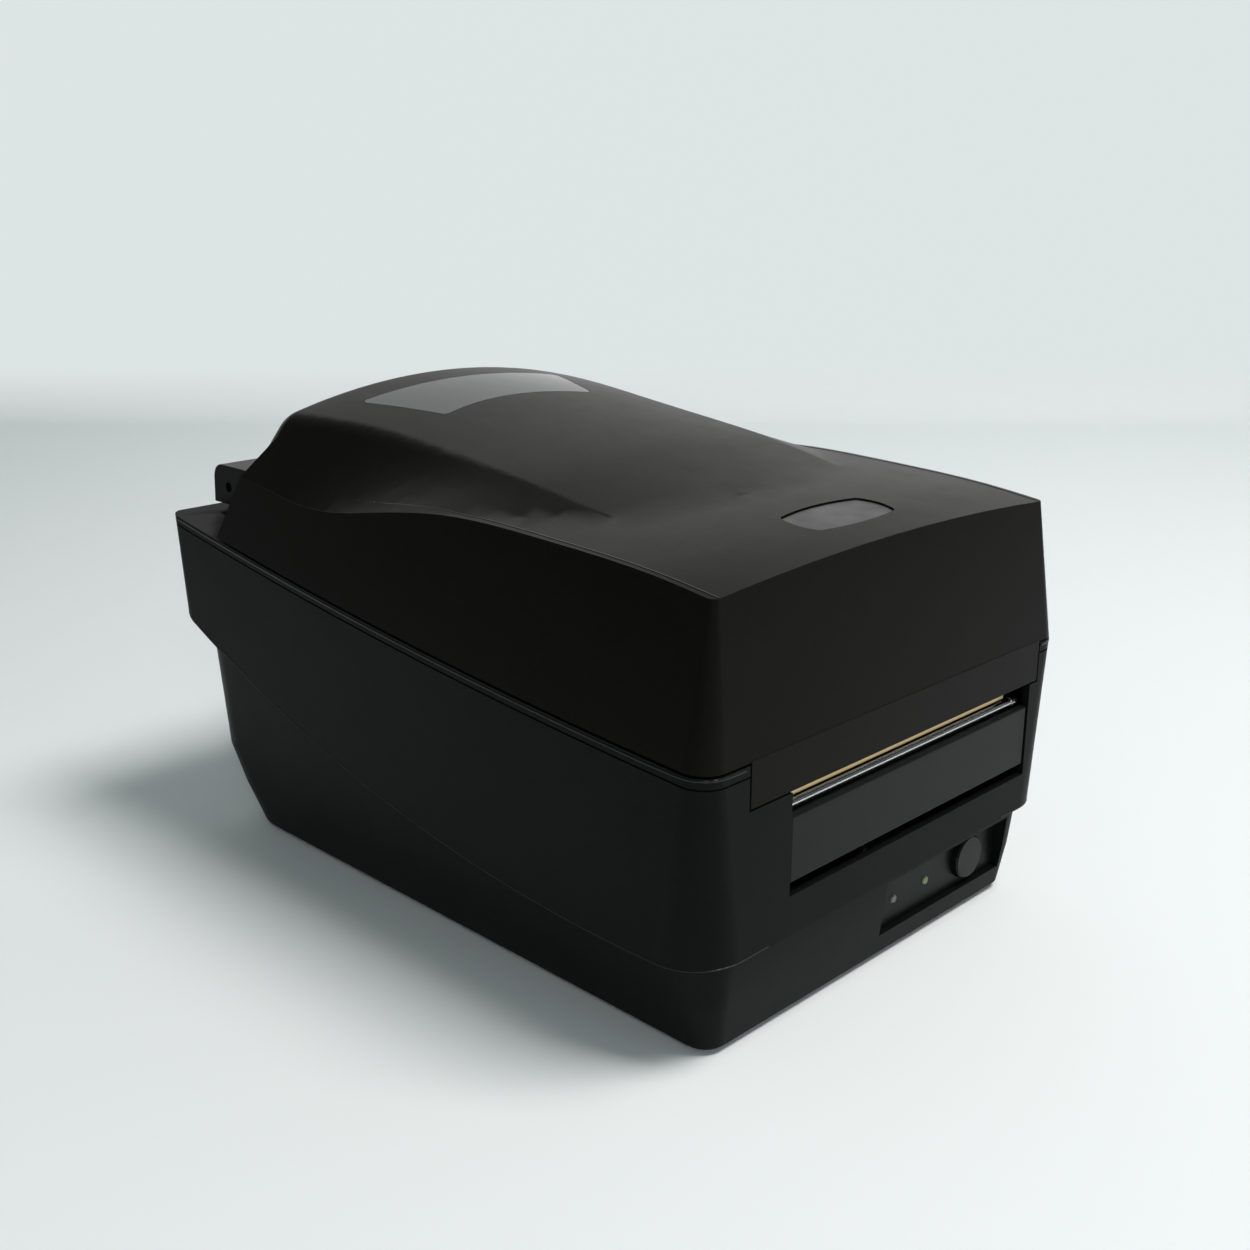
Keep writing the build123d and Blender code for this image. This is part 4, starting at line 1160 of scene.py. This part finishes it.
@dataclass
class Studio:
    """Table, backdrop, light and camera.

    Attributes:
        azimuth: Camera direction round the object, in degrees.
        elevation: Camera height angle, in degrees.
        focal_pixels: Focal length in pixels of the square photograph.
        place: Camera position.
        sensor: Width of the camera's sensor, in millimetres.
        clip_start: Nearest distance that the camera sees.
        aim: Point that the lights look at.
        wall_distance: Distance from the camera to the backdrop along the floor.
        wall_height: Height of the backdrop.
        cove: Radius of the cove between the table and the backdrop.
        cove_steps: Steps across it.
        table_rows: Distances from the camera of the table's rows of corners.
        sheet_columns: Places of the corners across the stage.
        paper_roughness: Roughness of the table and the backdrop.
        paper_specular: Their specular level.
        table_tint: Colour of the table.
        wall_tint: Colour of the backdrop.
        wall_glow: Share of the backdrop that glows evenly for the camera and in gloss.
        room: Surroundings that fill the shadows.
        mirrored: Surroundings seen in gloss.
        pale: Surroundings seen by the camera.
    """

    azimuth: float = -45.34
    elevation: float = 17.407
    focal_pixels: float = 1534.76
    place: Triple = (-0.38618, -0.39728, 0.264)
    sensor: float = 36.0
    clip_start: float = 0.01
    aim: Triple = (0.0, 0.0, 0.08)
    wall_distance: float = 1.55
    wall_height: float = 1.05
    cove: float = 0.05
    cove_steps: int = 12
    table_rows: tuple[float, ...] = (-2.5, -1.0, 0.4)
    sheet_columns: tuple[float, ...] = (-3.0, -1.0, 1.0, 3.0)
    paper_roughness: float = 0.9
    paper_specular: float = 0.1
    table_tint: Tint = (0.9, 0.92, 0.92, 1.0)
    wall_tint: Tint = (0.73, 0.785, 0.78, 1.0)
    wall_glow: float = 0.99
    room: Surroundings = Surroundings((0.74, 0.88, 0.88, 1.0), 0.22)
    mirrored: Surroundings = Surroundings((0.8, 0.86, 0.9, 1.0), 0.1)
    pale: Surroundings = Surroundings((0.74, 0.8, 0.8, 1.0), 0.95)

    def camera(self) -> None:
        """Set the scene's camera at the photograph's viewpoint."""
        a, e = math.radians(self.azimuth), math.radians(self.elevation)
        back = Vector((math.sin(a) * math.cos(e), -math.cos(a) * math.cos(e), math.sin(e)))
        right = Vector((math.cos(a), math.sin(a), 0.0))
        turn = Matrix((right, back.cross(right), back)).transposed().to_4x4()
        data = bpy.data.cameras.new("camera")
        data.sensor_width = self.sensor
        data.lens = self.focal_pixels / PHOTO_SIDE * self.sensor
        data.clip_start = self.clip_start
        camera = bpy.data.objects.new("camera", data)
        camera.matrix_world = Matrix.Translation(self.place) @ turn
        bpy.context.scene.collection.objects.link(camera)
        bpy.context.scene.camera = camera

    def light(self, lamp: AreaLight) -> None:
        """Add an area light that looks at the printer.

        Args:
            lamp: Its place, size, power and colour.
        """
        data = bpy.data.lights.new(lamp.name, "AREA")
        data.size = lamp.size
        data.energy = lamp.power
        data.color = lamp.colour
        light = bpy.data.objects.new(lamp.name, data)
        ahead = Vector(self.aim) - Vector(lamp.place)
        light.location = lamp.place
        light.rotation_mode = "QUATERNION"
        light.rotation_quaternion = ahead.to_track_quat("-Z", "Y")
        bpy.context.scene.collection.objects.link(light)

    def sweep(self, name: str, profile: list[tuple[float, float]],
              material: bpy.types.Material) -> None:
        """Make a stage sheet from its side view, square to the camera's direction.

        Args:
            name: Name of the sheet.
            profile: Distance from the camera and height of each row of corners.
            material: Its material.
        """
        a = math.radians(self.azimuth)
        ahead = Vector((-math.sin(a), math.cos(a), 0.0))
        across = Vector((math.cos(a), math.sin(a), 0.0))
        start = Vector((self.place[0], self.place[1], 0.0))
        build = bmesh.new()
        rows = []
        for s, z in profile:
            middle = start + ahead * s + UP * z
            rows.append([build.verts.new(middle + across * w) for w in self.sheet_columns])
        for low, high in zip(rows, rows[1:]):
            for i in range(len(self.sheet_columns) - 1):
                build.faces.new((low[i], low[i + 1], high[i + 1], high[i]))
        mesh = bpy.data.meshes.new(name)
        build.to_mesh(mesh)
        build.free()
        mesh.shade_smooth()
        mesh.materials.append(material)
        sheet = bpy.data.objects.new(name, mesh)
        bpy.context.scene.collection.objects.link(sheet)

    def floor(self) -> None:
        """White table top that meets a pale backdrop in a tight cove."""
        foot = self.wall_distance - self.cove
        profile = [(s, 0.0) for s in (*self.table_rows, foot)]
        for i in range(1, self.cove_steps + 1):
            t = i / self.cove_steps * math.pi / 2
            profile.append((foot + self.cove * math.sin(t), self.cove - self.cove * math.cos(t)))
        profile.append((self.wall_distance, self.wall_height))
        self.sweep("floor", profile, self.paper())

    def glow_share(self, tree: Tree, height: Socket, rays: Node) -> Socket:
        """Share of even glow: none on the table, and on the wall for the camera and in gloss.

        Args:
            tree: Node tree of the paper.
            height: Height above the table.
            rays: Light path node.

        Returns:
            The share's socket.
        """
        seen = tree.nodes.new("ShaderNodeMath")
        seen.operation = "MAXIMUM"
        tree.links.new(rays.outputs["Is Camera Ray"], seen.inputs[0])
        tree.links.new(rays.outputs["Is Glossy Ray"], seen.inputs[1])
        upright = tree.nodes.new("ShaderNodeMapRange")
        set_inputs(upright, {
            "From Min": 0.0, "From Max": self.cove, "To Min": 0.0, "To Max": self.wall_glow})
        tree.links.new(height, upright.inputs["Value"])
        share = tree.nodes.new("ShaderNodeMath")
        share.operation = "MULTIPLY"
        tree.links.new(seen.outputs["Value"], share.inputs[0])
        tree.links.new(upright.outputs["Result"], share.inputs[1])
        return share.outputs["Value"]

    def paper(self) -> bpy.types.Material:
        """Matt paper: white on the table, pale blue grey and evenly bright on the wall.

        Returns:
            The paper's material.
        """
        material = bpy.data.materials.new("paper")
        material.use_nodes = True
        tree = material.node_tree
        node, link = tree.nodes.new, tree.links.new
        shader = tree.nodes["Principled BSDF"]
        set_inputs(shader, {"Roughness": self.paper_roughness,
                            "Specular IOR Level": self.paper_specular})
        place = node("ShaderNodeTexCoord")
        split = node("ShaderNodeSeparateXYZ")
        ramp = node("ShaderNodeValToRGB")
        link(place.outputs["Object"], split.inputs["Vector"])
        link(split.outputs["Z"], ramp.inputs["Fac"])
        for end, (height, tint) in enumerate(((0.0, self.table_tint), (self.cove, self.wall_tint))):
            ramp.color_ramp.elements[end].position = height
            ramp.color_ramp.elements[end].color = tint
        link(ramp.outputs["Color"], shader.inputs["Base Color"])
        rays = node("ShaderNodeLightPath")
        shown = node("ShaderNodeMix")
        shown.data_type = "RGBA"
        link(rays.outputs["Is Glossy Ray"], shown.inputs["Factor"])
        link(ramp.outputs["Color"], shown.inputs[MIX_A])
        shown.inputs[MIX_B].default_value = WHITE
        glow = node("ShaderNodeEmission")
        link(shown.outputs[MIX_RESULT], glow.inputs["Color"])
        mix = node("ShaderNodeMixShader")
        link(self.glow_share(tree, split.outputs["Z"], rays), mix.inputs["Fac"])
        link(shader.outputs["BSDF"], mix.inputs[1])
        link(glow.outputs["Emission"], mix.inputs[2])
        link(mix.outputs["Shader"], tree.nodes["Material Output"].inputs["Surface"])
        return material

    def world(self) -> None:
        """Pale surroundings for the camera, a dim room for reflections and fill light."""
        world = bpy.data.worlds.new("studio")
        bpy.context.scene.world = world
        world.use_nodes = True
        tree = world.node_tree
        room = tree.nodes["Background"]
        set_inputs(room, {"Color": self.room.tint, "Strength": self.room.strength})
        rays = tree.nodes.new("ShaderNodeLightPath")
        shader = room.outputs["Background"]
        for ray, seen in (("Is Glossy Ray", self.mirrored), ("Is Camera Ray", self.pale)):
            shade = tree.nodes.new("ShaderNodeBackground")
            set_inputs(shade, {"Color": seen.tint, "Strength": seen.strength})
            mix = tree.nodes.new("ShaderNodeMixShader")
            tree.links.new(rays.outputs[ray], mix.inputs["Fac"])
            tree.links.new(shader, mix.inputs[1])
            tree.links.new(shade.outputs["Background"], mix.inputs[2])
            shader = mix.outputs["Shader"]
        tree.links.new(shader, tree.nodes["World Output"].inputs["Surface"])

    def build(self) -> None:
        """Build the whole studio."""
        bpy.context.scene.view_settings.view_transform = "Standard"
        self.floor()
        self.world()
        for lamp in LIGHTS:
            self.light(lamp)
        self.camera()
        log.info("studio built")


def main() -> None:
    """Build the printer's looks and its studio."""
    logging.basicConfig(level=logging.INFO)
    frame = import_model()
    wardrobe = Wardrobe(frame)
    parts = (Cover, Housing, ControlPanel, LabelExit, Chassis, PaperDrive, PrintModule,
             MediaBay, Electronics)
    for part in parts:
        part(wardrobe).build()
    Studio().build()


if __name__ == "__main__":
    main()
